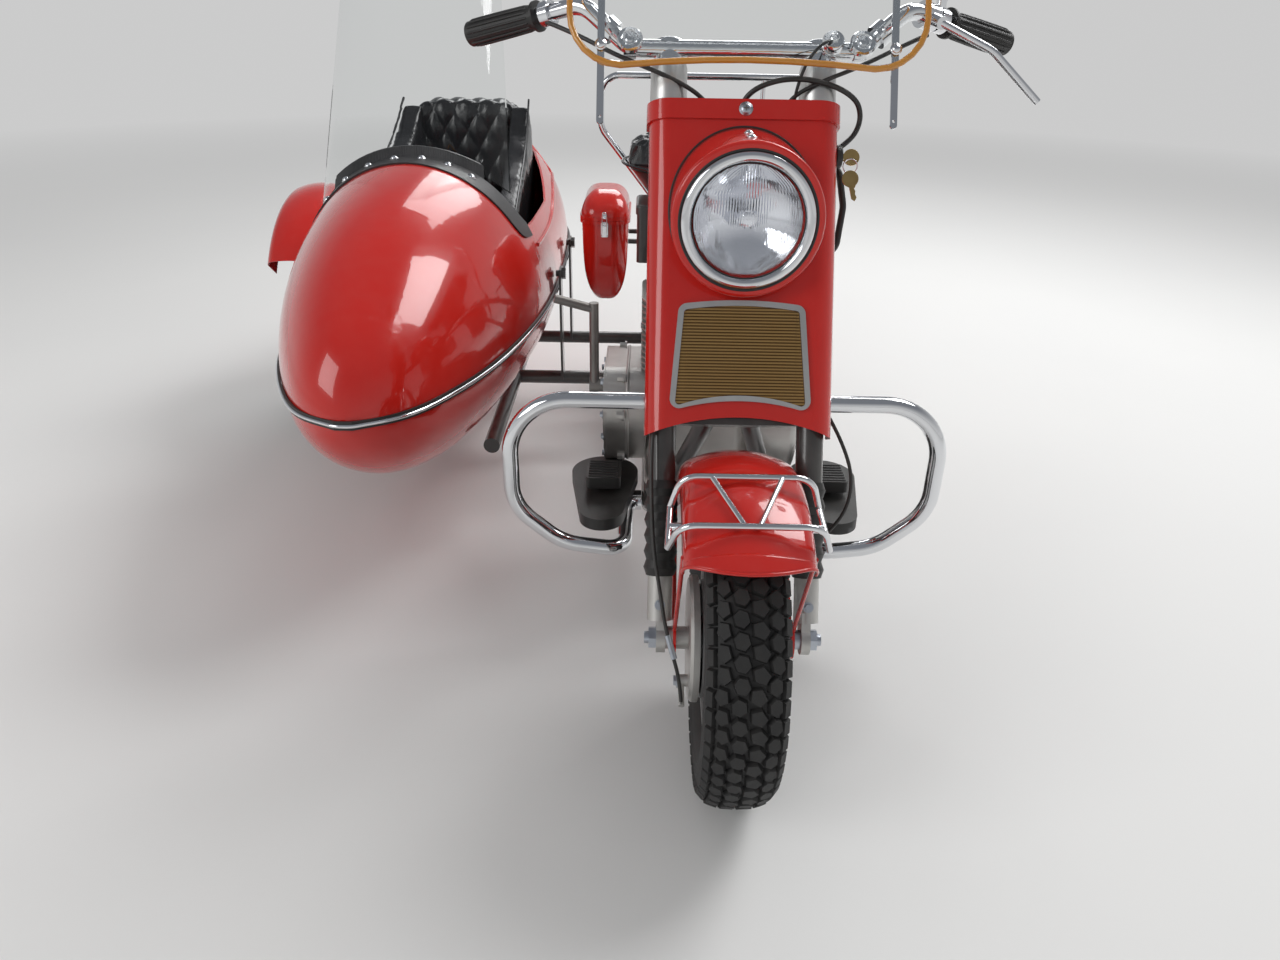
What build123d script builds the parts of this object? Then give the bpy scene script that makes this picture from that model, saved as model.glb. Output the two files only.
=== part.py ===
from build123d import *
import math
import os

# Motor scooter with a sidecar, standing on its three wheels. Lengths are millimetres.
# While the pieces are made, x is 0 on the scooter's centre plane and the sidecar is at minus x,
# y is 0 at the front axle and grows to the rear, and z is 0 on the ground.

# Wheels and tyres
tyre_radius = 216.0
tyre_width = 97.0
tread_width = 78.0
shoulder_drop = 11.0
bead_radius = 127.3
flange_height = 12.0
rim_width = 62.0
rim_sheet = 4.0
well_depth = 14.0
well_half_width = 14.0
hub_radius = 29.0
hub_half_length = 46.0
drum_radius = 78.0
drum_wall = 6.0
disc_sheet = 6.0
lightening_radius = 11.0
lightening_circle = 86.0
axle_radius = 8.0
hub_play = 0.08
fit_gap = 0.3

# Wheel places
wheelbase = 1300.0
sidecar_track = 905.0
sidecar_lead = 40.0

# Fork and steering head
rake = 26.5
leg_spread = 98.0
stem_offset = 55.0
tube_radius = 18.0
stanchion_radius = 14.0
slider_radius = 16.5
slider_bottom = 24.0
slider_top = 92.0
gaiter_top = 211.0
gaiter_overlap = 8.0
gaiter_radius = 22.5
gaiter_folds = 6
lug_thickness = 12.0
lug_half_width = 20.0
lug_inner = 90.0
tube_top = 690.0
yoke_wall = 22.5
stem_radius = 12.7
stem_play = 0.3
lower_yoke_bottom = 285.0
lower_yoke_height = 18.0
upper_yoke_bottom = 520.0
upper_yoke_height = 25.0
head_tube_radius = 22.0
yoke_gap = 2.0

# Nacelle, its lamp pod and its badge
nacelle_half_width = 123.0
nacelle_sheet = 2.0
nacelle_front = 38.0
nacelle_depth = 52.0
nacelle_corner = 28.0
nacelle_bottom = 268.0
nacelle_arch = 26.0
nacelle_top = 700.0
band_height = 25.0
band_lip = 3.5
pod_radius = 95.0
pod_height = 733.0
pod_front = 150.0
lamp_ring_radius = 86.5
rim_radius = 83.5
lens_radius = 70.5
rim_proud = 4.0
rim_depth = 16.0
lens_bulge = 9.0
reflector_depth = 35.0
reflector_inset = 2.0
badge_bottom = 300.0
badge_top = 438.0
badge_top_half = 81.0
badge_bottom_half = 92.0
badge_bow = 6.0
badge_arch = 15.0
badge_border = 7.0
badge_thickness = 4.0
panel_thickness = 1.6
rib_pitch = 4.0
rib_height = 1.0

# Handlebar and what it carries
bar_radius = 11.0
bar_height = 914.0
bar_reach = 335.0
bar_centre_half = 150.0
bar_bend = (212.0, 356.0, 964.0)
bar_end = (370.0, 442.0, 924.0)
bar_bend_radius = 36.0
cap_radius = 21.5
cap_top = 787.0
grip_radius = 16.5
grip_length = 113.0
perch_distance = 150.0
lever_reach = 30.0
lever_radius = 5.0
lever_tip = (392.0, 330.0, 858.0)
mirror_radius = 50.0
mirror_thickness = 14.0
mirror_centre = (440.0, 372.0, 1052.0)
mirror_rod_radius = 4.0
mirror_distance = 128.0
lamp_cable_radius = 4.5

# Windshield
shield_back = -52.0
shield_sheet = 3.0
shield_half_width = 226.0
shield_bottom = 735.0
shield_top = 1190.0
shield_bow = 9.0
shield_corner = 65.0
shield_top_corner = 110.0
strap_side = 186.0
strap_width = 9.0
strap_sheet = 3.0
strap_bottom = 662.0
strap_top = 1010.0
shield_clamp_side = 176.0

# Front fender and its guard
fender_radius = 253.0
fender_half_width = 77.0
fender_rise = 38.0
fender_corner = 27.0
fender_skirt = 6.0
fender_sheet = 1.6
fender_front_angle = 58.0
fender_rear_angle = 20.0
guard_radius = 4.0
guard_half_width = 90.0
guard_flare = 1.04
guard_gap = 3.0
guard_high_angle = 84.0
guard_low_angle = 66.0
stay_radius = 3.0

# Frame
rail_spread = 110.0
rail_height = 200.0
rail_radius = 14.0
rail_front = 330.0
down_tube_rise = 18.0
down_tube_knee = (60.0, 300.0, 330.0)
backbone_radius = 19.0
backbone_rear = (0.0, 700.0, 575.0)
backbone_start = 455.0
cross_radius = 11.0
front_cross = 440.0
rear_cross = 900.0
rear_tube_radius = 11.0
rear_tube_bend = (95.0, 810.0, 540.0)
rear_tube_knee = (95.0, 920.0, 480.0)
rear_tube_foot = 1200.0
rear_tube_drop = 60.0
cluster_radius = 24.0
rail_boss_radius = 9.0
rail_boss_top = 548.0
fender_boss_reach = 1120.0
fender_boss_radius = 6.0
hanger_radius = 5.0
hanger_height = 520.0
hanger_spread = 45.0
dropout_thickness = 8.0
dropout_radius = 26.0

# Crash bar
crash_radius = 12.7
crash_reach = 268.8
crash_height = 444.0
crash_half_width = 326.0
crash_corner = 92.0
crash_side_low = 262.0
crash_knee = (250.0, 196.0)
crash_low = (150.0, 184.0)
crash_foot_reach = 395.0

# Engine
engine_side = 60.0
engine_left = 120.0
engine_front = 420.0
engine_rear = 640.0
engine_bottom = 215.0
engine_top = 420.0
clutch_cover_depth = 70.0
cylinder_side = -45.0
cylinder_reach = 485.0
barrel_radius = 42.0
fin_width = 168.0
fin_depth = 150.0
fin_sheet = 3.0
fin_pitch = 9.5
fin_count = 13
head_height = 3.0
flywheel_radius = 85.0
flywheel_depth = 70.0
kick_pivot = (420.0, 406.0)
kick_top = (430.0, 532.0)
kick_side = 205.0
kick_pedal_length = 62.0
chain_side = 63.0
chain_width = 24.0
chain_front_radius = 46.0
chain_rear_radius = 50.0
chain_front = (612.0, 300.0)
pipe_radius = 17.0
muffler_radius = 40.0
muffler_front = 760.0
muffler_length = 420.0
muffler_side = 168.0
muffler_height = 250.0

# Seat, tank and boxes
saddle_bottom = 700.0
saddle_thickness = 58.0
saddle_rear = 745.0
saddle_rear_radius = 108.0
saddle_rear_spread = 60.0
saddle_front = 600.0
saddle_front_radius = 68.0
pan_height = 32.0
pan_inset = 12.0
tank_front = 362.0
tank_cap_back = 92.0
tank_cap_radius = 26.0
box_side = 140.0
box_width = 104.0
box_front = 600.0
box_depth = 95.0
box_height = 98.0
box_top = 660.0
seat_rail_radius = 6.0
seat_rail_reach = 855.0
seat_rail_height = 842.0
seat_rail_half_width = 212.0
seat_post_side = 88.0
seat_rail_shoulder = 750.0
seat_rail_knee = 604.0

# Rear fender and tail lamp
rear_fender_radius = 250.0
rear_fender_half_width = 62.0
rear_fender_rise = 32.0
rear_fender_corner = 24.0
rear_fender_skirt = 12.0
rear_fender_rear_angle = 14.0
tail_lamp_height = 360.0
tail_lamp_radius = 32.0
tail_lamp_length = 40.0
plate_width = 184.0
plate_height = 108.0
plate_sheet = 2.0
plate_hole_radius = 3.5
plate_hole_spacing = 146.0

# Saddlebags
bag_side = 207.0
bag_centre = 975.0
bag_half_width = 48.0
bag_half_length = 92.0
bag_seam = 570.0
bag_dome = 52.0
bag_bottom = 395.0
bag_wall = 2.5
bag_taper = 0.93
bag_taper_drop = 90.0
bag_lip = 3.0
bag_lip_height = 7.0
lid_gap = 0.4
latch_width = 14.0
latch_depth = 5.0
latch_height = 30.0

# Footboards
footboard_side = 188.0
footboard_rear = 432.0
footboard_rear_radius = 57.0
footboard_front = 300.0
footboard_front_radius = 36.0
footboard_top = 230.0
footboard_thickness = 9.0
pedal_width = 58.0
pedal_length = 66.0
pedal_thickness = 20.0
pedal_reach = 380.0
pedal_height = 272.0

# Sidecar
sidecar_side = -575.0
belt_height = 395.0
body_wall = 4.0
belt_thickness = 5.0
belt_gap = 0.8
belt_width = 14.0
screen_side = -586.0
screen_radius = 214.0
screen_top_radius = 183.0
screen_sheet = 3.0
screen_rake = 0.53
screen_base = 560.0
screen_rise = 480.0
screen_corner = 120.0
screen_centre = 985.0
screen_end = 890.0
band_width = 62.0
band_sheet = 3.0
wing_half_width = 165.0
wing_front_half = 185.0
wing_thickness = 60.0
seat_back_thickness = 92.0
wing_front = 930.0
seat_box_front = 1015.0
seat_rear = 1545.0
cushion_top = 430.0
cushion_bottom = 318.0
cushion_front = 1075.0
sidecar_rail_radius = 16.0
sidecar_rail_spread = 155.0
sidecar_rail_front = 640.0
sidecar_rail_rear = 1520.0
sidecar_cross_front = 1010.0
sidecar_cross_rear = 1290.0
sidecar_fender_radius = 300.0
sidecar_fender_height = 262.0
sidecar_fender_half_width = 61.0
sidecar_fender_front_angle = 37.0
sidecar_fender_rear_angle = 12.0
carrier_radius = 24.0
carrier_thickness = 9.0
band_rear = 893.0
seat_top = 755.0
wing_top = 545.0
bracket_side = -312.0
bracket_top = 440.0
bracket_width = 40.0
bracket_sheet = 5.0
hub_clear = 12.0
floor_top = 226.0
floor_front = 700.0
spacer_radius = 13.0

# Stations of the sidecar body: distance to the rear, half width, rise above and fall below the belt
body_stations = (
    (270.5, 9.0, 9.0, 8.3),
    (276.0, 28.0, 28.0, 26.0),
    (300.0, 68.0, 78.0, 70.0),
    (380.0, 126.0, 150.0, 139.0),
    (500.0, 176.0, 216.0, 184.0),
    (680.0, 221.0, 272.0, 195.0),
    (900.0, 249.0, 300.0, 195.0),
    (1150.0, 255.0, 305.0, 195.0),
    (1400.0, 250.0, 298.0, 194.0),
    (1620.0, 222.0, 268.0, 180.0),
    (1740.0, 176.0, 214.0, 143.0),
    (1812.0, 118.0, 146.0, 98.0),
    (1842.0, 64.0, 80.0, 54.0),
    (1850.0, 16.0, 20.0, 14.0),
)
hollow_stations = body_stations[2:-2]

# Corners of the cockpit opening seen from the side: distance to the rear, height, how far the band
# stands forward of it and below it as shares of the band's width, and bend radius
cockpit_corners = (
    (862.0, 760.0, 1.0, 0.0, 0.0),
    (866.0, 680.0, 1.0, 0.0, 120.0),
    (884.0, 553.0, 1.0, 0.1, 46.0),
    (1180.0, 549.0, 0.0, 0.8, 120.0),
    (1440.0, 604.0, 0.0, 0.8, 160.0),
    (1556.0, 612.0, 0.0, 0.0, 40.0),
    (1556.0, 760.0, 0.0, 0.0, 0.0),
)

# Stations of the fuel tank: distance behind its nose, half width, rise above its flat floor
tank_stations = (
    (0.0, 34.0, 58.0),
    (48.0, 70.0, 98.0),
    (98.0, 84.0, 104.0),
    (143.0, 70.0, 84.0),
    (164.0, 44.0, 54.0),
)

sin_rake = math.sin(math.radians(rake))
cos_rake = math.cos(math.radians(rake))
fork_up = Vector(0, sin_rake, cos_rake)
fork_back = Vector(0, cos_rake, -sin_rake)
across = Vector(1, 0, 0)
front_axle_place = Vector(0, 0, tyre_radius)
rear_axle_place = Vector(0, wheelbase, tyre_radius)
sidecar_axle_place = Vector(-sidecar_track, wheelbase - sidecar_lead, tyre_radius)


def fork_point(side, back, up):
    """Point given along the fork: across, behind the legs' plane, and up the legs from the axle."""
    return front_axle_place + across * side + fork_back * back + fork_up * up


def fork_plane(up, side=0.0, back=0.0):
    """Plane square to the fork legs, its y axis to the rear."""
    return Plane(origin=fork_point(side, back, up), x_dir=(1, 0, 0), z_dir=fork_up)


def front_plane(back):
    """Plane parallel to the fork legs that faces forward, its y axis up the legs."""
    return Plane(origin=fork_point(0, back, 0), x_dir=(1, 0, 0), z_dir=-fork_back)


def rod(points, bend, radius):
    """Adds a round bar to the sub-part being built, straight runs joined by arcs."""
    with BuildLine() as route:
        if len(points) > 2:
            FilletPolyline(*points, radius=bend)
        else:
            Line(*points)
    with BuildSketch(Plane(origin=route.line @ 0, z_dir=route.line % 0)) as section:
        Circle(radius)
    sweep(section.sketch, path=route.line)


def collar(centre, along, inner, outer, length):
    """Adds a ring to the sub-part being built, centred on a bar that runs the given way."""
    start = centre - along.normalized() * (length / 2)
    with BuildSketch(Plane(origin=start, z_dir=along)) as ring:
        Circle(outer)
        Circle(inner, mode=Mode.SUBTRACT)
    extrude(ring.sketch, amount=length)


def post(foot, along, radius, length):
    """Adds a plain cylinder to the sub-part being built."""
    with BuildSketch(Plane(origin=foot, z_dir=along)) as section:
        Circle(radius)
    extrude(section.sketch, amount=length)


def hex_nut(foot, along, across_flats, length):
    """Adds a hexagon nut to the sub-part being built."""
    with BuildSketch(Plane(origin=foot, z_dir=along)) as section:
        RegularPolygon(across_flats / 2, 6, major_radius=False)
    extrude(section.sketch, amount=length)


def crown_outline(half_width, rise, corner, base, skirt):
    """Closed outline of a crowned fender section: skirts, two corner arcs and a flatter crown arc."""
    crown = (half_width**2 + rise**2 - 2 * half_width * corner) / (2 * (rise - corner))
    turn = math.degrees(math.atan2(crown - rise, half_width - corner))
    with BuildSketch() as section:
        with BuildLine() as outline:
            Line((half_width, base - skirt), (half_width, base))
            CenterArc((half_width - corner, base), corner, 0, turn)
            CenterArc((0, base + rise - crown), crown, turn, 180 - 2 * turn)
            CenterArc((corner - half_width, base), corner, 180 - turn, turn)
            Line((-half_width, base), (-half_width, base - skirt))
            Line((-half_width, base - skirt), (half_width, base - skirt))
        make_face(outline.edges())
    return section.sketch


def fender_shell(centre, radius, sizes, front_angle, rear_angle):
    """Adds a sheet fender round a wheel axis: sizes are half width, rise, corner, skirt and sheet."""
    half_width, rise, corner, skirt, sheet = sizes
    lean = math.radians(front_angle)
    outward = Vector(0, -math.cos(lean), math.sin(lean))
    start = Plane(origin=centre, x_dir=(1, 0, 0), z_dir=across.cross(outward))
    outer = crown_outline(half_width, rise, corner, radius - rise, skirt)
    inner = crown_outline(half_width - sheet, rise - sheet, corner - sheet, radius - rise, skirt + 1)
    with BuildSketch(start) as section:
        add(outer)
        add(inner, mode=Mode.SUBTRACT)
    revolve(section.sketch, axis=Axis(centre, (-1, 0, 0)), revolution_arc=180 - front_angle - rear_angle)


def body_loft(grow, side, stations=body_stations):
    """Solid sidecar body above or below its belt, grown outward by the given amount."""
    with BuildPart() as hull:
        for reach, half_width, rise, fall in stations:
            height = rise if side > 0 else fall
            start_angle = 0 if side > 0 else 180
            centre = (sidecar_side, reach, belt_height)
            with BuildSketch(Plane(origin=centre, x_dir=(1, 0, 0), z_dir=(0, -1, 0))):
                with BuildLine():
                    EllipticalCenterArc((0, 0), half_width + grow, height + grow, start_angle, arc_size=180)
                    Line((half_width + grow, 0), (-half_width - grow, 0))
                make_face()
        loft()
    return hull.part


def body_size(reach, column):
    """Half width, rise or fall of the sidecar body at a place between two of its stations."""
    for near, far in zip(body_stations, body_stations[1:]):
        if near[0] <= reach <= far[0]:
            share = (reach - near[0]) / (far[0] - near[0])
            return near[column] + (far[column] - near[column]) * share
    return 0.0


def cap_middle(edge, foot, apex):
    """Middle point of the arc of a spherical cap, from its edge to its apex on the axis."""
    sag = abs(foot - apex)
    radius = (edge**2 + sag**2) / (2 * sag)
    half_turn = math.atan2(edge, radius - sag) / 2
    way = 1 if foot > apex else -1
    return (radius * math.sin(half_turn), apex + way * radius * (1 - math.cos(half_turn)))


def save(piece, label):
    """Keeps a finished piece under its node name."""
    piece.part.label = label
    pieces[label] = piece.part


pieces = {}

# Tyres and wheels, all three about axes that run across
wheel_places = (
    ("front", front_axle_place, True),
    ("rear", rear_axle_place, True),
    ("sidecar", sidecar_axle_place, False),
)
bead_half = rim_width / 2 - fit_gap
flange_radius = bead_radius + flange_height
sidewall_radius = (flange_radius + tyre_radius - shoulder_drop) / 2
for wheel_name, place, has_drum in wheel_places:
    wheel_plane = Plane(origin=place, x_dir=(1, 0, 0), z_dir=(0, -1, 0))
    wheel_axis = Axis(place, (1, 0, 0))
    with BuildPart() as tyre:
        with BuildSketch(wheel_plane):
            with BuildLine():
                Line((-bead_half, bead_radius + fit_gap), (bead_half, bead_radius + fit_gap))
                for way in (1, -1):
                    bead_foot = (way * bead_half, bead_radius + fit_gap)
                    bead_top = (way * bead_half, flange_radius + 2)
                    shoulder = (way * tread_width / 2, tyre_radius - shoulder_drop)
                    Line(bead_foot, bead_top)
                    ThreePointArc(bead_top, (way * tyre_width / 2, sidewall_radius), shoulder)
                ThreePointArc(
                    (tread_width / 2, tyre_radius - shoulder_drop),
                    (0, tyre_radius),
                    (-tread_width / 2, tyre_radius - shoulder_drop),
                )
            make_face()
        revolve(axis=wheel_axis)
    save(tyre, wheel_name + "_tyre")

    seat_half = rim_width / 2
    well_radius = bead_radius - well_depth
    with BuildPart() as rim:
        with BuildSketch(wheel_plane):
            with BuildLine():
                Polyline(
                    (-seat_half - rim_sheet, flange_radius),
                    (-seat_half, flange_radius),
                    (-seat_half, bead_radius),
                    (-well_half_width - rim_sheet, bead_radius),
                    (-well_half_width, well_radius),
                    (well_half_width, well_radius),
                    (well_half_width + rim_sheet, bead_radius),
                    (seat_half, bead_radius),
                    (seat_half, flange_radius),
                    (seat_half + rim_sheet, flange_radius),
                    (seat_half + rim_sheet, bead_radius - rim_sheet),
                    (well_half_width + rim_sheet * 2, bead_radius - rim_sheet),
                    (well_half_width + rim_sheet, well_radius - rim_sheet),
                    (-well_half_width - rim_sheet, well_radius - rim_sheet),
                    (-well_half_width - rim_sheet * 2, bead_radius - rim_sheet),
                    (-seat_half - rim_sheet, bead_radius - rim_sheet),
                    close=True,
                )
            make_face()
            with Locations((disc_sheet / 2 + 6, (hub_radius + well_radius) / 2)):
                Rectangle(disc_sheet, well_radius - hub_radius)
            with Locations((0, (axle_radius + hub_play + hub_radius) / 2)):
                Rectangle(2 * hub_half_length, hub_radius - axle_radius - hub_play)
            if has_drum:
                with Locations((6 - (hub_half_length + 4) / 2, drum_radius - drum_wall / 2)):
                    Rectangle(hub_half_length + 4, drum_wall)
        revolve(axis=wheel_axis)
        disc_face = Plane(origin=place + across * (disc_sheet + 6), z_dir=(1, 0, 0))
        with BuildSketch(disc_face):
            with PolarLocations((lightening_circle + well_radius) / 2, 8):
                Circle(lightening_radius - 3)
        extrude(amount=-disc_sheet, mode=Mode.SUBTRACT)
    save(rim, wheel_name + "_wheel")

# Front axle with its nuts and spacers, and the brake plate that closes the drum
lug_outer = lug_inner + lug_thickness
nut_length = 10.0
plate_inner = hub_half_length + 1.5
plate_outer = plate_inner + 12.0
brake_boss_radius = 15.0
with BuildPart() as front_axle:
    axle_end = lug_outer + nut_length + 6
    post(front_axle_place - across * axle_end, across, axle_radius, 2 * axle_end)
    for way in (-1, 1):
        hex_nut(front_axle_place + across * way * lug_outer, across * way, 26.0, nut_length)
    spacer_start = hub_half_length + fit_gap
    spacer_place = front_axle_place + across * (spacer_start + lug_inner) / 2
    collar(spacer_place, across, axle_radius - 1, spacer_radius, lug_inner - spacer_start)
save(front_axle, "front_axle")

with BuildPart() as brake_plate:
    with BuildSketch(Plane(origin=front_axle_place - across * plate_inner, x_dir=(0, 1, 0), z_dir=(-1, 0, 0))):
        Circle(drum_radius + 6)
        Circle(axle_radius + fit_gap, mode=Mode.SUBTRACT)
    extrude(amount=12.0)
    chamfer(brake_plate.faces().sort_by(Axis.X)[0].outer_wire().edges(), 4)
    boss_place = front_axle_place - across * (plate_outer + lug_inner) / 2
    collar(boss_place, across, axle_radius + fit_gap, brake_boss_radius, lug_inner - plate_outer)
    cam_place = front_axle_place + Vector(-plate_outer + 1, -42, -38)
    post(cam_place, -across, 8.0, 14.0)
    rod([cam_place - across * 10, cam_place + Vector(-10, -34, -14)], 0, 4.0)
    post(front_axle_place + Vector(-plate_outer + 1, 48, -34), -across, 7.0, 16.0)
save(brake_plate, "brake_plate")

# Fork: sliders with axle lugs, bellows, then the tubes with both yokes and the stem
with BuildPart() as fork_sliders:
    for way in (-1, 1):
        with BuildSketch(fork_plane(slider_bottom, side=way * leg_spread)):
            Circle(slider_radius)
        extrude(amount=slider_top - slider_bottom)
        lug_face = Plane(
            origin=front_axle_place + across * way * lug_inner, x_dir=fork_back * way, z_dir=across * way
        )
        with BuildSketch(lug_face):
            Circle(lug_half_width)
            with Locations((0, (slider_bottom + 14) / 2)):
                Rectangle(2 * lug_half_width - 8, slider_bottom + 14)
            Circle(axle_radius + fit_gap, mode=Mode.SUBTRACT)
        extrude(amount=lug_thickness)
save(fork_sliders, "fork_sliders")

gaiter_bottom = slider_top - gaiter_overlap
fold_height = (gaiter_top - gaiter_bottom - fit_gap) / gaiter_folds
with BuildPart() as fork_gaiters:
    for way in (-1, 1):
        leg_plane = Plane(origin=fork_point(way * leg_spread, 0, 0), x_dir=(1, 0, 0), z_dir=-fork_back)
        inside = slider_radius + fit_gap
        with BuildSketch(leg_plane):
            with BuildLine():
                fold_points = [(inside, gaiter_bottom)]
                for fold in range(gaiter_folds):
                    low = gaiter_bottom + fold * fold_height
                    fold_points.append((inside + 2.2, low))
                    fold_points.append((gaiter_radius, low + fold_height / 2))
                fold_points.append((inside + 2.2, gaiter_top - fit_gap))
                fold_points.append((inside, gaiter_top - fit_gap))
                Polyline(*fold_points, close=True)
            make_face()
        revolve(axis=Axis(fork_point(way * leg_spread, 0, 0), fork_up))
save(fork_gaiters, "fork_gaiters")


def yoke(bottom, height):
    """Adds a fork yoke to the sub-part being built: a plate that ties both legs to the stem."""
    with BuildSketch(fork_plane(bottom)) as plate:
        with Locations((-leg_spread, 0), (leg_spread, 0)):
            Circle(yoke_wall)
        with Locations((0, stem_offset)):
            Circle(head_tube_radius + 4)
        make_hull()
    extrude(plate.sketch, amount=height)


with BuildPart() as fork_tubes:
    for way in (-1, 1):
        with BuildSketch(fork_plane(slider_top + fit_gap, side=way * leg_spread)):
            Circle(stanchion_radius)
        extrude(amount=gaiter_top - slider_top)
        with BuildSketch(fork_plane(gaiter_top, side=way * leg_spread)):
            Circle(tube_radius)
        extrude(amount=tube_top - gaiter_top)
    yoke(lower_yoke_bottom, lower_yoke_height)
    yoke(upper_yoke_bottom, upper_yoke_height)
    with BuildSketch(fork_plane(lower_yoke_bottom, back=stem_offset)):
        Circle(stem_radius)
    extrude(amount=upper_yoke_bottom + upper_yoke_height - lower_yoke_bottom)
save(fork_tubes, "fork_tubes")

# Nacelle: bent sheet open to the rear, with an arched foot, a top band and the lamp pod
ring_floor = pod_front + rim_depth - rim_proud
lamp_axis = Axis((0, 0, pod_height), (0, 1, 0))
lamp_plane = Plane(origin=(0, 0, pod_height), x_dir=(1, 0, 0), z_dir=(0, 0, 1))
with BuildPart() as pod:
    with BuildSketch(Plane(origin=(0, pod_front, pod_height), x_dir=(1, 0, 0), z_dir=(0, -1, 0))):
        Circle(pod_radius)
    extrude(amount=-160)
    fillet(pod.edges().filter_by(GeomType.CIRCLE).sort_by(Axis.Y)[0], 5)
    split(bisect_by=front_plane(nacelle_sheet / 2 - nacelle_front), keep=Keep.TOP)
    with BuildSketch(lamp_plane):
        with BuildLine():
            bowl_edge = lens_radius - reflector_inset
            Polyline(
                (0, pod_front - 1),
                (lamp_ring_radius, pod_front - 1),
                (lamp_ring_radius, ring_floor),
                (bowl_edge, ring_floor),
            )
            bowl_bottom = ring_floor + reflector_depth
            ThreePointArc((bowl_edge, ring_floor), cap_middle(bowl_edge, ring_floor, bowl_bottom), (0, bowl_bottom))
            Line((0, bowl_bottom), (0, pod_front - 1))
        make_face()
    revolve(axis=lamp_axis, mode=Mode.SUBTRACT)

with BuildPart() as nacelle:
    with BuildSketch(fork_plane(nacelle_bottom)) as wrap:
        with Locations((0, -nacelle_front)):
            Rectangle(2 * nacelle_half_width, nacelle_depth, align=(Align.CENTER, Align.MIN))
        fillet(wrap.vertices().group_by(Axis.Y)[0], nacelle_corner)
    extrude(amount=nacelle_top - nacelle_bottom)
    with BuildSketch(fork_plane(nacelle_top - band_height)) as lip:
        with Locations((0, (nacelle_depth - band_lip) / 2 - nacelle_front)):
            Rectangle(2 * (nacelle_half_width + band_lip), nacelle_depth + band_lip)
        fillet(lip.vertices().group_by(Axis.Y)[0], nacelle_corner + band_lip)
    extrude(amount=band_height)
    with BuildSketch(fork_plane(nacelle_bottom)) as hollow:
        with Locations((0, nacelle_sheet - nacelle_front + nacelle_depth / 2)):
            Rectangle(2 * (nacelle_half_width - nacelle_sheet), nacelle_depth)
        fillet(hollow.vertices().group_by(Axis.Y)[0], nacelle_corner - nacelle_sheet)
    extrude(amount=nacelle_top - nacelle_bottom, mode=Mode.SUBTRACT)
    with BuildSketch(front_plane(-nacelle_front - 20)):
        with BuildLine():
            foot_left = (-nacelle_half_width - 10, nacelle_bottom - 4)
            foot_right = (nacelle_half_width + 10, nacelle_bottom - 4)
            ThreePointArc(foot_left, (0, nacelle_bottom + nacelle_arch), foot_right)
            Line(foot_right, foot_left)
        make_face()
    extrude(amount=-nacelle_depth - 40, mode=Mode.SUBTRACT)
    add(pod.part)
save(nacelle, "nacelle")

# Headlamp: domed lens inside a rolled rim
rim_back = ring_floor - fit_gap
lens_front = pod_front - lens_bulge * 0.6
with BuildPart() as headlamp_rim:
    with BuildSketch(lamp_plane):
        with BuildLine():
            Line((lens_radius, rim_back), (rim_radius, rim_back))
            Line((rim_radius, rim_back), (rim_radius, pod_front + 1))
            ThreePointArc(
                (rim_radius, pod_front + 1),
                ((lens_radius + rim_radius) / 2 + 2, pod_front - rim_proud),
                (lens_radius, pod_front + 3),
            )
            Line((lens_radius, pod_front + 3), (lens_radius, rim_back))
        make_face()
    revolve(axis=lamp_axis)
save(headlamp_rim, "headlamp_rim")

with BuildPart() as headlamp_lens:
    with BuildSketch(lamp_plane):
        with BuildLine():
            lens_edge = lens_radius - fit_gap
            Line((0, rim_back), (lens_edge, rim_back))
            Line((lens_edge, rim_back), (lens_edge, pod_front + 4))
            lens_side = (lens_edge, pod_front + 4)
            ThreePointArc(lens_side, cap_middle(lens_edge, pod_front + 4, lens_front), (0, lens_front))
            Line((0, lens_front), (0, rim_back))
        make_face()
    revolve(axis=lamp_axis)
save(headlamp_lens, "headlamp_lens")


def badge_outline(inset):
    """Closed outline of the badge: bowed top, slanted sides and an arched foot."""
    with BuildSketch() as outline:
        with BuildLine():
            top_left = (inset - badge_top_half, badge_top - inset)
            top_right = (badge_top_half - inset, badge_top - inset)
            foot_right = (badge_bottom_half - inset * 1.1, badge_bottom + inset)
            foot_left = (inset * 1.1 - badge_bottom_half, badge_bottom + inset)
            ThreePointArc(top_left, (0, badge_top + badge_bow - inset), top_right)
            Line(top_right, foot_right)
            ThreePointArc(foot_right, (0, badge_bottom + badge_arch + inset), foot_left)
            Line(foot_left, top_left)
        make_face()
        fillet(outline.vertices(), 12 - inset)
    return outline.sketch


with BuildPart() as badge_frame:
    with BuildSketch(front_plane(-nacelle_front)):
        add(badge_outline(0))
        add(badge_outline(badge_border), mode=Mode.SUBTRACT)
    extrude(amount=badge_thickness)
save(badge_frame, "badge_frame")

with BuildPart() as badge_panel:
    with BuildSketch(front_plane(-nacelle_front)):
        add(badge_outline(badge_border + fit_gap))
    extrude(amount=panel_thickness)
    rib_count = int((badge_top - badge_bottom - badge_arch - 2 * badge_border) / rib_pitch)
    with BuildSketch(front_plane(-nacelle_front - panel_thickness)):
        with Locations((0, (badge_top + badge_bottom + badge_arch) / 2)):
            with GridLocations(0, rib_pitch, 1, rib_count):
                Rectangle(2 * (badge_top_half - badge_border - 4), rib_pitch * 0.55)
    extrude(amount=rib_height)
save(badge_panel, "badge_panel")


# Handlebar with the caps that clamp it to the fork tubes
def bar_points():
    """Centre line of the handlebar from end to end."""
    side, reach, height = bar_bend
    end_side, end_reach, end_height = bar_end
    return [
        (-end_side, end_reach, end_height),
        (-side, reach, height),
        (-bar_centre_half, bar_reach, bar_height),
        (bar_centre_half, bar_reach, bar_height),
        (side, reach, height),
        (end_side, end_reach, end_height),
    ]


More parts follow.
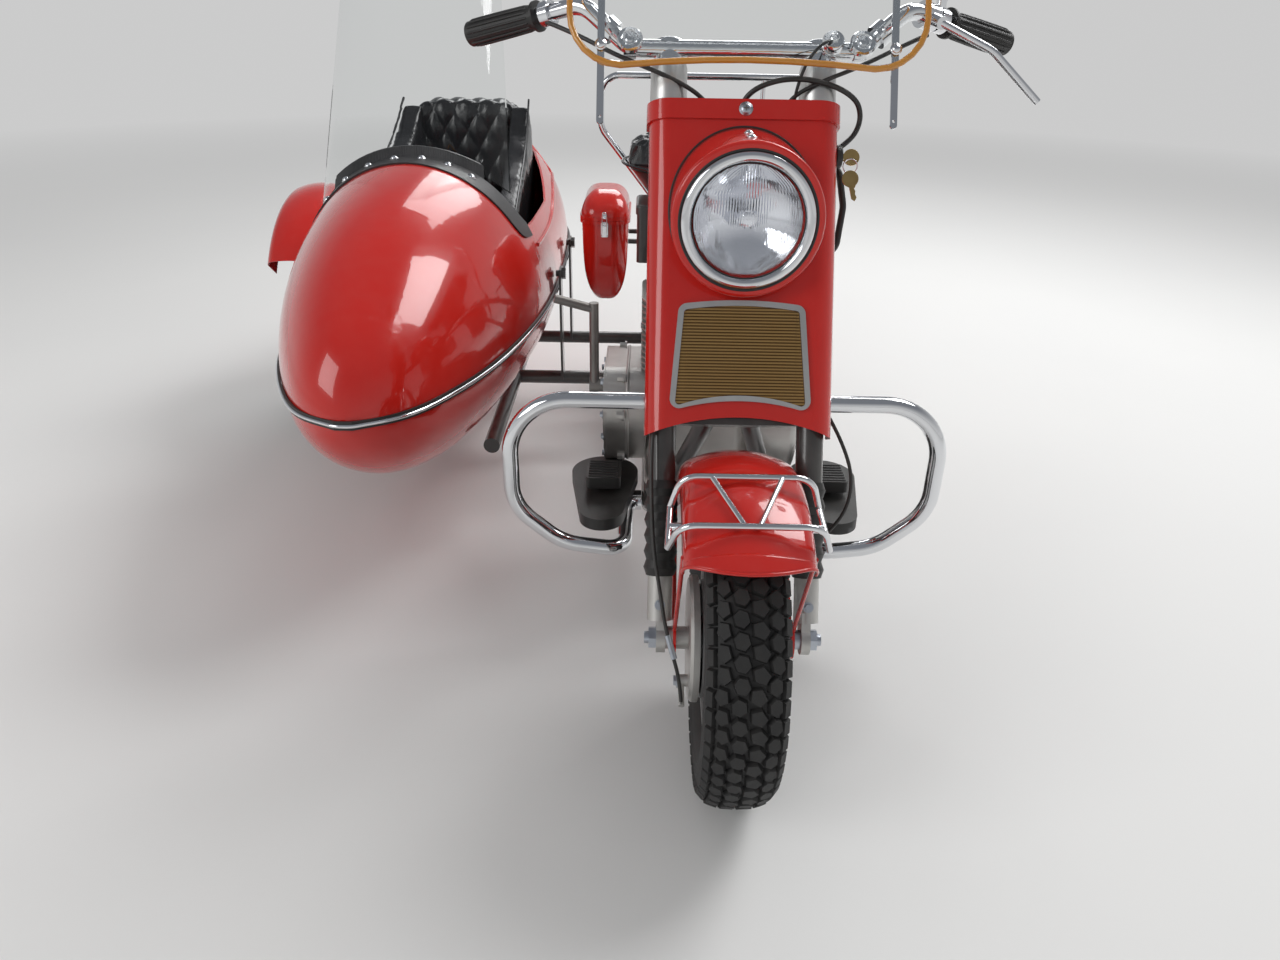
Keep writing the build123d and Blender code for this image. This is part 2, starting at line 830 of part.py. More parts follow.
def bar_place(way, distance):
    """Point on the handlebar's grip run, at a distance from its end, and the way outward."""
    end = Vector(way * bar_end[0], bar_end[1], bar_end[2])
    bend = Vector(way * bar_bend[0], bar_bend[1], bar_bend[2])
    inward = (bend - end).normalized()
    return end + inward * distance, inward * -1


with BuildPart() as handlebar:
    rod(bar_points(), bar_bend_radius, bar_radius)
    for way in (-1, 1):
        with BuildSketch(fork_plane(tube_top, side=way * leg_spread)):
            Circle(cap_radius)
        cap = extrude(amount=cap_top - tube_top)
        fillet(cap.edges().filter_by(GeomType.CIRCLE).sort_by(Axis.Z)[-1], 3)
save(handlebar, "handlebar")

with BuildPart() as grips:
    for way in (-1, 1):
        grip_foot, outward = bar_place(way, grip_length)
        with BuildSketch(Plane(origin=grip_foot, z_dir=outward)):
            Circle(grip_radius - 1.5)
        extrude(amount=grip_length + 5, taper=-0.7)
        with BuildSketch(Plane(origin=grip_foot, z_dir=outward)):
            Circle(grip_radius + 3)
        extrude(amount=4)
        with BuildSketch(Plane(origin=grip_foot, z_dir=outward)):
            Circle(bar_radius + fit_gap)
        extrude(amount=grip_length + fit_gap, mode=Mode.SUBTRACT)
save(grips, "grips")

with BuildPart() as brake_lever:
    perch, outward = bar_place(1, perch_distance)
    lever_root = perch + Vector(10, -lever_reach, -6)
    collar(perch, outward, bar_radius + fit_gap, bar_radius + 6, 22)
    perch_foot = perch + (lever_root - perch).normalized() * (bar_radius + 3)
    post(perch_foot, lever_root - perch, 8, lever_reach - bar_radius + 4)
    knee = lever_root + (Vector(*lever_tip) - lever_root) * 0.45 + Vector(6, -8, 10)
    rod([lever_root, knee, lever_tip], 60, lever_radius)
save(brake_lever, "brake_lever")

with BuildPart() as mirrors:
    for way in (-1, 1):
        clamp_place, outward = bar_place(way, mirror_distance)
        head = Vector(way * mirror_centre[0], mirror_centre[1], mirror_centre[2])
        with BuildSketch(Plane(origin=head + Vector(0, mirror_thickness / 2, 0), x_dir=(1, 0, 0), z_dir=(0, -1, 0))):
            Circle(mirror_radius)
        extrude(amount=mirror_thickness)
        fillet(mirrors.edges(Select.LAST).filter_by(GeomType.CIRCLE).sort_by(Axis.Y)[0], 9)
        collar(clamp_place, outward, bar_radius + fit_gap, bar_radius + 5, 14)
        post(clamp_place + Vector(0, 0, bar_radius + 4), Vector(0, 0, 1), 7, 12)
        rod(
            [clamp_place + Vector(0, 0, 18), clamp_place + Vector(way * 26, 0, 62), head + Vector(way * -70, 0, -14), head],
            22,
            mirror_rod_radius,
        )
save(mirrors, "mirrors")

# Cable that leaves the nacelle beside the left fork leg and returns lower down
cable_start = tube_radius + fit_gap
with BuildPart() as lamp_cable:
    rod(
        [
            fork_point(leg_spread, cable_start, 655),
            fork_point(leg_spread, 38, 655),
            fork_point(136, 34, 636),
            fork_point(142, 30, 585),
            fork_point(134, 34, 530),
            fork_point(leg_spread, 38, 505),
            fork_point(leg_spread, cable_start, 505),
        ],
        [13, 18, 40, 22, 13],
        lamp_cable_radius,
    )
save(lamp_cable, "lamp_cable")

# Windshield: clear sheet parallel to the fork, on two straps clamped to the bar
with BuildPart() as windshield:
    with BuildSketch(front_plane(shield_back)) as pane:
        with BuildLine():
            low_left = (-shield_half_width, shield_bottom)
            low_right = (shield_half_width, shield_bottom)
            Polyline(low_left, (-shield_half_width, shield_top), (shield_half_width, shield_top), low_right)
            ThreePointArc(low_right, (0, shield_bottom + shield_bow), low_left)
        make_face()
        fillet(pane.vertices().group_by(Axis.Y)[-1], shield_top_corner)
        fillet(pane.vertices().group_by(Axis.Y)[0], shield_corner)
    extrude(amount=shield_sheet)
save(windshield, "windshield")

strap_face = shield_back + fit_gap
with BuildPart() as windshield_clamps:
    for way in (-1, 1):
        with BuildSketch(front_plane(strap_face + strap_sheet)) as strap:
            with Locations((way * strap_side, (strap_bottom + strap_top) / 2)):
                SlotOverall(strap_top - strap_bottom, strap_width, rotation=90)
            with Locations((way * strap_side, strap_bottom + strap_width)):
                Circle(1.8, mode=Mode.SUBTRACT)
        extrude(amount=strap_sheet)
        bend = Vector(way * bar_bend[0], bar_bend[1], bar_bend[2])
        corner = Vector(way * bar_centre_half, bar_reach, bar_height)
        slope = (bend - corner).normalized()
        clamp_place = corner + slope * ((shield_clamp_side - bar_centre_half) / abs(slope.X))
        collar(clamp_place, slope, bar_radius + fit_gap, bar_radius + 5, 16)
        strap_level = (clamp_place - front_axle_place).dot(fork_up)
        strap_hold = fork_point(way * strap_side, strap_face + strap_sheet - 0.5, strap_level)
        reach = strap_hold - clamp_place
        foot = clamp_place + reach.normalized() * (bar_radius + 3)
        post(foot, reach, 6, reach.length - bar_radius - 3)
save(windshield_clamps, "windshield_clamps")

# Front fender with the stays that hold it to the axle, and the bowed guard over its nose
fender_sizes = (fender_half_width, fender_rise, fender_corner, fender_skirt, fender_sheet)
with BuildPart() as front_fender:
    fender_shell(front_axle_place, fender_radius, fender_sizes, fender_front_angle, fender_rear_angle)
    stay_side = fender_half_width + 1
    for way in (-1, 1):
        for angle in (118, 40):
            lean = math.radians(angle)
            edge_radius = fender_radius - fender_rise - fender_skirt + 10
            edge = Vector(0, math.cos(lean), math.sin(lean))
            top = front_axle_place + edge * edge_radius + across * way * (fender_half_width - 1)
            foot = front_axle_place + edge * 24 + across * way * stay_side
            rod([foot, top], 0, stay_radius)
        collar(front_axle_place + across * way * stay_side, across, brake_boss_radius + fit_gap, 26.0, 4.0)
save(front_fender, "front_fender")


def guard_point(side, radius_out, angle):
    """Point of the fender guard: across, out from the axle, and turned up from straight ahead."""
    lean = math.radians(angle)
    return front_axle_place + Vector(side, -math.cos(lean) * radius_out, math.sin(lean) * radius_out)


guard_out = fender_radius + guard_radius + guard_gap
guard_side = fender_radius - fender_rise
with BuildPart() as fender_guard:
    for angle, spread in ((guard_high_angle, 1.0), (guard_low_angle, guard_flare)):
        outer = guard_half_width * spread
        shoulder = outer * 0.86
        rod(
            [
                guard_point(-outer, guard_side, angle),
                guard_point(-shoulder, guard_out, angle),
                guard_point(shoulder, guard_out, angle),
                guard_point(outer, guard_side, angle),
            ],
            26,
            guard_radius,
        )
    for way in (-1, 1):
        high_side = guard_point(way * guard_half_width, guard_side, guard_high_angle)
        low_side = guard_point(way * guard_half_width * guard_flare, guard_side, guard_low_angle)
        rod([low_side, high_side], 0, guard_radius)
        brace_low = guard_point(way * 8, guard_out, guard_low_angle)
        brace_high = guard_point(way * 42, guard_out, guard_high_angle)
        rod([brace_low, brace_high], 0, guard_radius * 0.8)
        middle = (low_side + high_side) * 0.5
        foot = Vector(way * (fender_half_width + fit_gap), middle.Y, middle.Z)
        post(foot, across * way, guard_radius + 1, abs(middle.X) - fender_half_width)
save(fender_guard, "fender_guard")

# Frame: head tube, backbone and down tubes, then the cradle, then the rear triangle
head_bottom = lower_yoke_bottom + lower_yoke_height + yoke_gap
head_top = upper_yoke_bottom - yoke_gap
wall_start = (head_tube_radius + stem_radius) / 2
backbone_head = fork_point(0, stem_offset + wall_start, backbone_start)


def backbone_level(reach):
    """Height of the backbone's centre line at a distance to the rear."""
    share = (reach - backbone_head.Y) / (backbone_rear[1] - backbone_head.Y)
    return backbone_head.Z + (backbone_rear[2] - backbone_head.Z) * share


with BuildPart() as main_frame:
    with BuildSketch(fork_plane(head_bottom, back=stem_offset)):
        Circle(head_tube_radius)
    extrude(amount=head_top - head_bottom)
    rod([backbone_head, backbone_rear], 0, backbone_radius)
    knee_side, knee_reach, knee_height = down_tube_knee
    for reach in (box_front + 25, box_front + box_depth - 25):
        hold_place = Vector(0, reach, backbone_level(reach))
        post(hold_place, -across, 8, box_side - box_width - fit_gap)
    for way in (-1, 1):
        down_head = fork_point(way * 12, stem_offset + wall_start, head_bottom + rail_radius + down_tube_rise)
        rod(
            [
                down_head,
                (way * knee_side, knee_reach, knee_height),
                (way * rail_spread, rail_front, rail_height + 40),
                (way * rail_spread, rail_front + 60, rail_height),
                (way * rail_spread, front_cross + 40, rail_height),
            ],
            [30, 40, 40],
            rail_radius,
        )
    with BuildSketch(fork_plane(head_bottom, back=stem_offset)):
        Circle(stem_radius + stem_play)
    extrude(amount=head_top - head_bottom, mode=Mode.SUBTRACT)
save(main_frame, "main_frame")

cradle_front = front_cross + 40 + fit_gap
with BuildPart() as cradle:
    for way in (-1, 1):
        rod(
            [(way * rail_spread, cradle_front, rail_height), (way * rail_spread, wheelbase - 60, rail_height)],
            0,
            rail_radius,
        )
        dropout = Plane(
            origin=rear_axle_place + across * way * (rail_spread - dropout_thickness / 2), x_dir=(0, 1, 0), z_dir=across
        )
        with BuildSketch(dropout) as ear:
            Circle(dropout_radius)
            with Locations((-70, rail_height - tyre_radius)):
                Circle(rail_radius)
            make_hull()
            Circle(axle_radius + fit_gap, mode=Mode.SUBTRACT)
        extrude(ear.sketch, amount=way * dropout_thickness)
    for reach in (front_cross + 60, rear_cross):
        cross_height = engine_bottom - fit_gap - cross_radius
        rod([(-rail_spread, reach, cross_height), (rail_spread, reach, cross_height)], 0, cross_radius)
save(cradle, "cradle")

knee_side, knee_reach, knee_height = rear_tube_knee
bend_side, bend_reach, bend_height = rear_tube_bend
foot_top = rail_height + rail_radius + fit_gap


def rear_tube_place(reach):
    """Centre of the left rear tube at a distance to the rear, between its bend, knee and foot."""
    if reach < knee_reach:
        share = (reach - bend_reach) / (knee_reach - bend_reach)
        return Vector(bend_side, reach, bend_height + (knee_height - bend_height) * share)
    share = (reach - knee_reach) / (rear_tube_foot - knee_reach)
    side = knee_side + (rail_spread - knee_side) * share
    return Vector(side, reach, knee_height + (foot_top + rear_tube_drop - knee_height) * share)


cluster_reach = backbone_rear[1] + cluster_radius + fit_gap + 0.8
hanger_shrink = (1 - bag_taper) * (bag_seam - hanger_height) / bag_taper_drop
hanger_end = bag_side - bag_half_width * (1 - hanger_shrink) - fit_gap - 0.2
with BuildPart() as rear_frame:
    cluster_bottom = backbone_rear[2] - cluster_radius
    cluster_top = saddle_bottom - pan_height - fit_gap
    post(Vector(0, cluster_reach, cluster_bottom), Vector(0, 0, 1), cluster_radius, cluster_top - cluster_bottom)
    for way in (-1, 1):
        rod(
            [
                (way * 14, cluster_reach + 3, cluster_bottom + 12),
                (way * bend_side, bend_reach, bend_height),
                (way * knee_side, knee_reach, knee_height),
                (way * rail_spread, rear_tube_foot, foot_top + rear_tube_drop),
                (way * rail_spread, rear_tube_foot, foot_top),
            ],
            [36, 60, 40],
            rear_tube_radius,
        )
        rail_boss = rear_tube_place(seat_rail_reach)
        post(Vector(way * rail_boss.X, rail_boss.Y, rail_boss.Z), Vector(0, 0, 1), rail_boss_radius, rail_boss_top - rail_boss.Z)
        fender_boss = rear_tube_place(fender_boss_reach)
        boss_start = rear_fender_half_width + fit_gap
        boss_foot = Vector(way * boss_start, fender_boss.Y, fender_boss.Z)
        post(boss_foot, across * way, fender_boss_radius, fender_boss.X - boss_start)
        for reach in (bag_centre - hanger_spread, bag_centre + hanger_spread):
            hanger = rear_tube_place(reach)
            post(Vector(way * hanger.X, reach, hanger.Z), Vector(0, 0, 1), hanger_radius, hanger_height - hanger.Z)
            post(
                Vector(way * (hanger.X - hanger_radius), reach, hanger_height),
                across * way,
                hanger_radius,
                hanger_end - hanger.X + hanger_radius,
            )
save(rear_frame, "rear_frame")

with BuildPart() as rear_axle:
    dropout_outer = rail_spread + dropout_thickness / 2
    post(rear_axle_place - across * (dropout_outer + 18), across, axle_radius, 2 * (dropout_outer + 18))
    for way in (-1, 1):
        hex_nut(rear_axle_place + across * way * dropout_outer, across * way, 26.0, 12.0)
        sleeve_start = hub_half_length + fit_gap
        sleeve_end = rail_spread - dropout_thickness / 2
        sleeve_place = rear_axle_place + across * way * (sleeve_start + sleeve_end) / 2
        collar(sleeve_place, across, axle_radius - 1, spacer_radius, sleeve_end - sleeve_start)
save(rear_axle, "rear_axle")

# Crash bar: one chrome tube bent into a loop at each side
with BuildPart() as crash_bar:
    low_side, low_height = crash_low
    loop = [
        (-rail_spread - rail_radius - fit_gap, crash_foot_reach, rail_height),
        (-low_side, crash_foot_reach, rail_height),
        (-low_side, crash_reach, low_height),
        (-crash_knee[0], crash_reach, crash_knee[1]),
        (-crash_half_width, crash_reach, crash_side_low),
        (-crash_half_width, crash_reach, crash_height),
    ]
    mirrored = [(-side, reach, height) for side, reach, height in reversed(loop)]
    bends = [20, 30, crash_corner, 80, crash_corner]
    rod(loop + mirrored, bends + bends[::-1], crash_radius)
save(crash_bar, "crash_bar")

# Engine: case with its covers and carburettor, finned cylinder, exhaust and kick starter
with BuildPart() as engine_case:
    with BuildSketch(Plane.XY.offset(engine_bottom)):
        with Locations(((engine_side - engine_left) / 2, (engine_front + engine_rear) / 2)):
            RectangleRounded(engine_side + engine_left, engine_rear - engine_front, 30)
    extrude(amount=engine_top - engine_bottom)
    with BuildSketch(Plane(origin=(-engine_left, 0, 0), x_dir=(0, -1, 0), z_dir=(-1, 0, 0))) as cover:
        with Locations((-450, 366)):
            Circle(60)
        with Locations((-590, 320)):
            Circle(88)
        with Locations((-500, 300)):
            Circle(60)
        make_hull()
    left_cover = extrude(cover.sketch, amount=clutch_cover_depth)
    fillet(left_cover.faces().sort_by(Axis.X)[0].edges(), 16)
    with BuildSketch(Plane(origin=(engine_side, engine_front + 38, 330), x_dir=(0, 1, 0), z_dir=(1, 0, 0))):
        Circle(flywheel_radius)
    right_cover = extrude(amount=flywheel_depth)
    fillet(right_cover.faces().sort_by(Axis.X)[-1].edges(), 14)
    with BuildSketch(Plane(origin=(engine_side, chain_front[0], chain_front[1]), x_dir=(0, 1, 0), z_dir=(1, 0, 0))):
        Circle(24)
    extrude(amount=chain_side - engine_side - fit_gap)
save(engine_case, "engine_case")

barrel_top = engine_top + 12 + fin_count * fin_pitch
with BuildPart() as engine_cylinder:
    post(Vector(cylinder_side, cylinder_reach, engine_top), Vector(0, 0, 1), barrel_radius, barrel_top - engine_top + head_height)
    fin_planes = [Plane.XY.offset(engine_top + 12 + fin * fin_pitch) for fin in range(fin_count)]
    with BuildSketch(*fin_planes):
        with Locations((cylinder_side, cylinder_reach)):
            RectangleRounded(fin_width, fin_depth, 34)
    extrude(amount=fin_sheet)
    post(Vector(cylinder_side, cylinder_reach, barrel_top), Vector(0, 0, 1), 10, head_height + 22)
    intake_start = Vector(cylinder_side, cylinder_reach + 30, engine_top + 50)
    rod([intake_start, intake_start + Vector(0, 88, 16)], 0, 15)
    post(Vector(cylinder_side, cylinder_reach + 112, engine_top + 36), Vector(0, 0, 1), 24, 66)
save(engine_cylinder, "engine_cylinder")

with BuildPart() as exhaust:
    port = (cylinder_side + fin_width / 2 + fit_gap, cylinder_reach, engine_top + 60)
    rod(
        [
            port,
            (muffler_side - 8, cylinder_reach, port[2]),
            (muffler_side - 6, cylinder_reach + 60, muffler_height + 40),
            (muffler_side, muffler_front - 110, muffler_height),
            (muffler_side, muffler_front + 20, muffler_height),
        ],
        [34, 60, 60],
        pipe_radius,
    )
    with BuildSketch(Plane(origin=(muffler_side, muffler_front, muffler_height), x_dir=(1, 0, 0), z_dir=(0, 1, 0))):
        Circle(muffler_radius)
    can = extrude(amount=muffler_length)
    fillet(can.edges().filter_by(GeomType.CIRCLE), 14)
    muffler_end = Vector(muffler_side, muffler_front + muffler_length - 10, muffler_height)
    post(muffler_end, Vector(0, 1, 0), pipe_radius * 0.7, 120)
    for reach in (muffler_front + 70, muffler_front + muffler_length - 90):
        bracket_end = Vector(rail_spread + rail_radius + fit_gap, reach, rail_height)
        rod([bracket_end, bracket_end + Vector(22, 0, 0), Vector(muffler_side, reach, muffler_height - 20)], 10, 6)
save(exhaust, "exhaust")

with BuildPart() as kick_starter:
    shaft_start = Vector(-engine_left - clutch_cover_depth - fit_gap, kick_pivot[0], kick_pivot[1])
    hub_place = Vector(-kick_side, kick_pivot[0], kick_pivot[1])
    post(shaft_start + Vector(0, 14, -6), Vector(-1, 0, 0), 14, kick_side - engine_left - clutch_cover_depth + 8)
    top_place = Vector(-kick_side, kick_top[0], kick_top[1])
    rod([hub_place + Vector(0, 10, -4), top_place + Vector(0, 0, 10)], 0, 7.5)
    rod([top_place, top_place + Vector(-kick_pedal_length, -6, 18)], 0, 7)
save(kick_starter, "kick_starter")

with BuildPart() as chain_case:
    with BuildSketch(Plane(origin=(chain_side, 0, 0), x_dir=(0, 1, 0), z_dir=(1, 0, 0))) as case:
        with Locations(chain_front):
            Circle(chain_front_radius)
        with Locations((wheelbase, tyre_radius)):
            Circle(chain_rear_radius)
        make_hull()
        with Locations((wheelbase, tyre_radius)):
            Circle(spacer_radius + 1, mode=Mode.SUBTRACT)
    extrude(case.sketch, amount=chain_width)
    chamfer(chain_case.faces().sort_by(Axis.X)[-1].outer_wire().edges(), 5)
save(chain_case, "chain_case")

# Seat, tank, battery box and seat rail


def saddle_plan(inset):
    """Plan outline of the saddle: wide round rear and a narrower nose."""
    with BuildSketch() as plan:
        with Locations((-saddle_rear_spread, saddle_rear), (saddle_rear_spread, saddle_rear)):
            Circle(saddle_rear_radius - inset)
        with Locations((0, saddle_front)):
            Circle(saddle_front_radius - inset)
        make_hull()
    return plan.sketch


with BuildPart() as saddle:
    with BuildSketch(Plane.XY.offset(saddle_bottom)):
        add(saddle_plan(0))
    cushion = extrude(amount=saddle_thickness)
    fillet(cushion.faces().sort_by(Axis.Z)[-1].edges(), 24)
save(saddle, "saddle")

with BuildPart() as saddle_pan:
    with BuildSketch(Plane.XY.offset(saddle_bottom - fit_gap)):
        add(saddle_plan(pan_inset))
    pan = extrude(amount=fit_gap - pan_height, taper=40)
save(saddle_pan, "saddle_pan")

tank_bottom = backbone_level(tank_front) + backbone_radius + 2 * fit_gap
with BuildPart() as fuel_tank:
    for back, half_width, rise in tank_stations:
        reach = tank_front + back
        with BuildSketch(Plane(origin=(0, reach, tank_bottom), x_dir=(1, 0, 0), z_dir=(0, -1, 0))):
            with BuildLine():
                EllipticalCenterArc((0, 0), half_width, rise, 0, arc_size=180)
                Line((half_width, 0), (-half_width, 0))
            make_face()
    loft()
    post(Vector(0, tank_front + tank_cap_back, tank_bottom + 90), Vector(0, 0, 1), tank_cap_radius, 30)
save(fuel_tank, "fuel_tank")

with BuildPart() as battery_box:
    with BuildSketch(Plane.XY.offset(box_top - box_height)):
        with Locations((-box_side + box_width / 2, box_front + box_depth / 2)):
            RectangleRounded(box_width, box_depth, 8)
    extrude(amount=box_height - 16)
    with BuildSketch(Plane.XY.offset(box_top - 16)):
        with Locations((-box_side + box_width / 2, box_front + box_depth / 2)):
            RectangleRounded(box_width + 4, box_depth + 4, 10)
    lid = extrude(amount=16)
    fillet(lid.faces().sort_by(Axis.Z)[-1].edges(), 5)
save(battery_box, "battery_box")

with BuildPart() as seat_rail:
    half = seat_rail_half_width
    foot_side = rear_tube_place(seat_rail_reach).X
    foot_height = rail_boss_top + fit_gap
    rod(
        [
            (-foot_side, seat_rail_reach, foot_height),
            (-foot_side, seat_rail_reach, seat_rail_knee),
            (-half, seat_rail_reach, seat_rail_shoulder),
            (-half, seat_rail_reach, seat_rail_height),
            (half, seat_rail_reach, seat_rail_height),
            (half, seat_rail_reach, seat_rail_shoulder),
            (foot_side, seat_rail_reach, seat_rail_knee),
            (foot_side, seat_rail_reach, foot_height),
        ],
        [30, 40, 36, 36, 40, 30],
        seat_rail_radius,
    )
    for way in (-1, 1):
        rod(
            [
                (way * seat_post_side, seat_rail_reach, seat_rail_height),
                (way * seat_post_side, seat_rail_reach, seat_rail_knee - 4),
                (way * foot_side, seat_rail_reach, seat_rail_knee - 34),
            ],
            10,
            seat_rail_radius - 1.5,
        )
save(seat_rail, "seat_rail")

# Rear fender, tail lamp and plate holder
rear_sizes = (rear_fender_half_width, rear_fender_rise, rear_fender_corner, rear_fender_skirt, fender_sheet)
with BuildPart() as rear_fender:
    fender_shell(rear_axle_place, rear_fender_radius, rear_sizes, 4, rear_fender_rear_angle)
save(rear_fender, "rear_fender")

lamp_drop = tail_lamp_height - tyre_radius
lamp_seat = wheelbase + math.sqrt(rear_fender_radius**2 - lamp_drop**2)
with BuildPart() as tail_lamp:
    plate_reach = lamp_seat + tail_lamp_length - 12
    plate_middle = tail_lamp_height + tail_lamp_radius + 6 + plate_height / 2
    post(Vector(0, lamp_seat - 40, tail_lamp_height), Vector(0, 1, 0), tail_lamp_radius, tail_lamp_length + 40)
    with BuildSketch(Plane(origin=(-60, wheelbase, tyre_radius), z_dir=(1, 0, 0))):
        Circle(rear_fender_radius + fit_gap)
    extrude(amount=120, mode=Mode.SUBTRACT)
    with BuildSketch(Plane(origin=(0, plate_reach, 0), x_dir=(1, 0, 0), z_dir=(0, -1, 0))):
        with Locations((0, plate_middle)):
            RectangleRounded(plate_width, plate_height, 8)
            with GridLocations(plate_hole_spacing, 0, 2, 1):
                Circle(plate_hole_radius, mode=Mode.SUBTRACT)
        with Locations((0, plate_middle - plate_height / 2)):
            Rectangle(44, 40)
    extrude(amount=plate_sheet)
save(tail_lamp, "tail_lamp")

# Saddlebags: hollow tapered bags with domed lids hinged at the rear, and a catch on each front


def bag_section(height, inset, shrink):
    """Sketch of the bag's rounded rectangle at a height."""
    with BuildSketch(Plane.XY.offset(height)) as section:
        width = 2 * (bag_half_width - inset) * shrink
        length = 2 * (bag_half_length - inset) * shrink
        RectangleRounded(width, length, (34 - inset) * shrink)
    return section.sketch


def bag_shell(inset, floor):
    """Solid tapered bag below the seam."""
    with BuildPart() as shell:
        taper_height = bag_seam - bag_taper_drop
        for height, shrink in ((bag_seam, 1.0), (taper_height, bag_taper), (floor + 28, 0.72), (floor, 0.4)):
            add(bag_section(height, inset, shrink))
        loft()
    return shell.part


def bag_dome_solid(inset, top):
    """Solid domed lid above the seam."""
    with BuildPart() as dome:
        for lift, shrink in ((0, 1.0), (0.5, 0.93), (0.85, 0.68), (1, 0.32)):
            add(bag_section(bag_seam + top * lift, inset, shrink))
        loft()
    return dome.part


bag_outer = bag_shell(0, bag_bottom)
bag_inner = bag_shell(bag_wall, bag_bottom + bag_wall)
dome_outer = bag_dome_solid(0, bag_dome)
dome_inner = bag_dome_solid(bag_wall, bag_dome - bag_wall)
with BuildPart() as bag_ring:
    with BuildSketch(Plane.XY.offset(bag_seam - bag_lip_height)):
        RectangleRounded(2 * (bag_half_width + bag_lip), 2 * (bag_half_length + bag_lip), 34 + bag_lip)
    extrude(amount=bag_lip_height)
bag_lip_ring = bag_ring.part
bag_places = [Pos(way * bag_side, bag_centre, 0) for way in (-1, 1)]
with BuildPart() as saddlebags:
    for spot in bag_places:
        add(spot * bag_outer)
        add(spot * bag_lip_ring)
        add(spot * bag_inner, mode=Mode.SUBTRACT)
save(saddlebags, "saddlebags")

for label, spot in (("bag_lid_right", bag_places[0]), ("bag_lid_left", bag_places[1])):
    with BuildPart() as bag_lid:
        add(spot * Pos(0, 0, lid_gap) * dome_outer)
        add(spot * Pos(0, 0, lid_gap + bag_lip_height) * bag_lip_ring)
        add(spot * Pos(0, 0, lid_gap) * dome_inner, mode=Mode.SUBTRACT)
    save(bag_lid, label)

with BuildPart() as bag_latches:
    latch_face = bag_centre - bag_half_length - bag_lip - fit_gap
    with BuildSketch(Plane(origin=(0, latch_face, 0), x_dir=(1, 0, 0), z_dir=(0, -1, 0))):
        with Locations((-bag_side, bag_seam - latch_height / 2), (bag_side, bag_seam - latch_height / 2)):
            RectangleRounded(latch_width, latch_height, 3)
    extrude(amount=latch_depth)
save(bag_latches, "bag_latches")

# Footboards: teardrop pads on brackets from the rails, each with a pedal above its rear
with BuildPart() as footboards:
    for way in (-1, 1):
        with BuildSketch(Plane.XY.offset(footboard_top - footboard_thickness)) as pad:
            with Locations((way * footboard_side, footboard_rear)):
                Circle(footboard_rear_radius)
            with Locations((way * footboard_side, footboard_front)):
                Circle(footboard_front_radius)
            make_hull()
        extrude(pad.sketch, amount=footboard_thickness)
        arm_height = footboard_top - footboard_thickness - 8
        arm_start = Vector(way * (rail_spread + rail_radius + fit_gap), footboard_rear - 10, rail_height)
        arm_end = Vector(way * footboard_side, footboard_rear - 10, arm_height)
        rod([arm_start, arm_start + across * way * 18, arm_end], 12, 8.5)
        with BuildSketch(Plane.XY.offset(pedal_height - pedal_thickness)):
            with Locations((way * footboard_side, pedal_reach)):
                RectangleRounded(pedal_width, pedal_length, 8)
        extrude(amount=pedal_thickness)
        pedal_foot = Vector(way * footboard_side, pedal_reach, footboard_top - 4)
        post(pedal_foot, Vector(0, 0, 1), 8, pedal_height - footboard_top)
save(footboards, "footboards")

# Sidecar body: hollow tub and cowl that meet at the belt, with the cockpit cut out of the cowl


def cockpit_profile(shift):
    """Side outline of the cockpit opening, its front moved forward by the given amount."""
    corners = [
        (reach - shift * forward, height - shift * down)
        for reach, height, forward, down, bend in cockpit_corners
    ]
    bends = [corner[4] for corner in cockpit_corners[1:-1]]
    with BuildSketch(Plane(origin=(sidecar_side, 0, 0), x_dir=(0, 1, 0), z_dir=(1, 0, 0))) as outline:
        with BuildLine():
            FilletPolyline(*corners, radius=bends)
            Line(corners[-1], corners[0])
        make_face()
    return outline.sketch


def cockpit_prism(shift):
    """Solid that spans the sidecar's width over the cockpit opening."""
    with BuildPart() as prism:
        extrude(cockpit_profile(shift), amount=300, both=True)
    return prism.part


opening = cockpit_prism(0)
with BuildPart() as sidecar_cowl:
    add(body_loft(0, 1))
    add(body_loft(-body_wall, 1, hollow_stations), mode=Mode.SUBTRACT)
    add(opening, mode=Mode.SUBTRACT)
save(sidecar_cowl, "sidecar_cowl")

with BuildPart() as sidecar_tub:
    add(body_loft(0, -1))
    add(body_loft(-body_wall, -1, hollow_stations), mode=Mode.SUBTRACT)
save(sidecar_tub, "sidecar_tub")

with BuildPart() as sidecar_belt:
    for level, grow, mode in ((belt_width, belt_thickness, Mode.ADD), (belt_width + 2, belt_gap, Mode.SUBTRACT)):
        with BuildPart(mode=Mode.PRIVATE) as ring:
            for station in body_stations:
                reach, half_width = station[:2]
                if station == body_stations[0]:
                    reach -= grow
                if station == body_stations[-1]:
                    reach += grow
                centre = (sidecar_side, reach, belt_height)
                with BuildSketch(Plane(origin=centre, x_dir=(1, 0, 0), z_dir=(0, -1, 0))):
                    Rectangle(2 * (half_width + grow), level)
            loft()
        add(ring.part, mode=mode)
save(sidecar_belt, "sidecar_belt")

with BuildPart() as sidecar_band:
    add(body_loft(fit_gap + band_sheet, 1))
    add(body_loft(fit_gap, 1), mode=Mode.SUBTRACT)
    add(cockpit_prism(band_width), mode=Mode.INTERSECT)
    add(cockpit_prism(0), mode=Mode.SUBTRACT)
    split(bisect_by=Plane(origin=(0, band_rear, 0), z_dir=(0, -1, 0)), keep=Keep.TOP)
    split(bisect_by=Plane.XY.offset(belt_height + belt_width), keep=Keep.TOP)
save(sidecar_band, "sidecar_band")



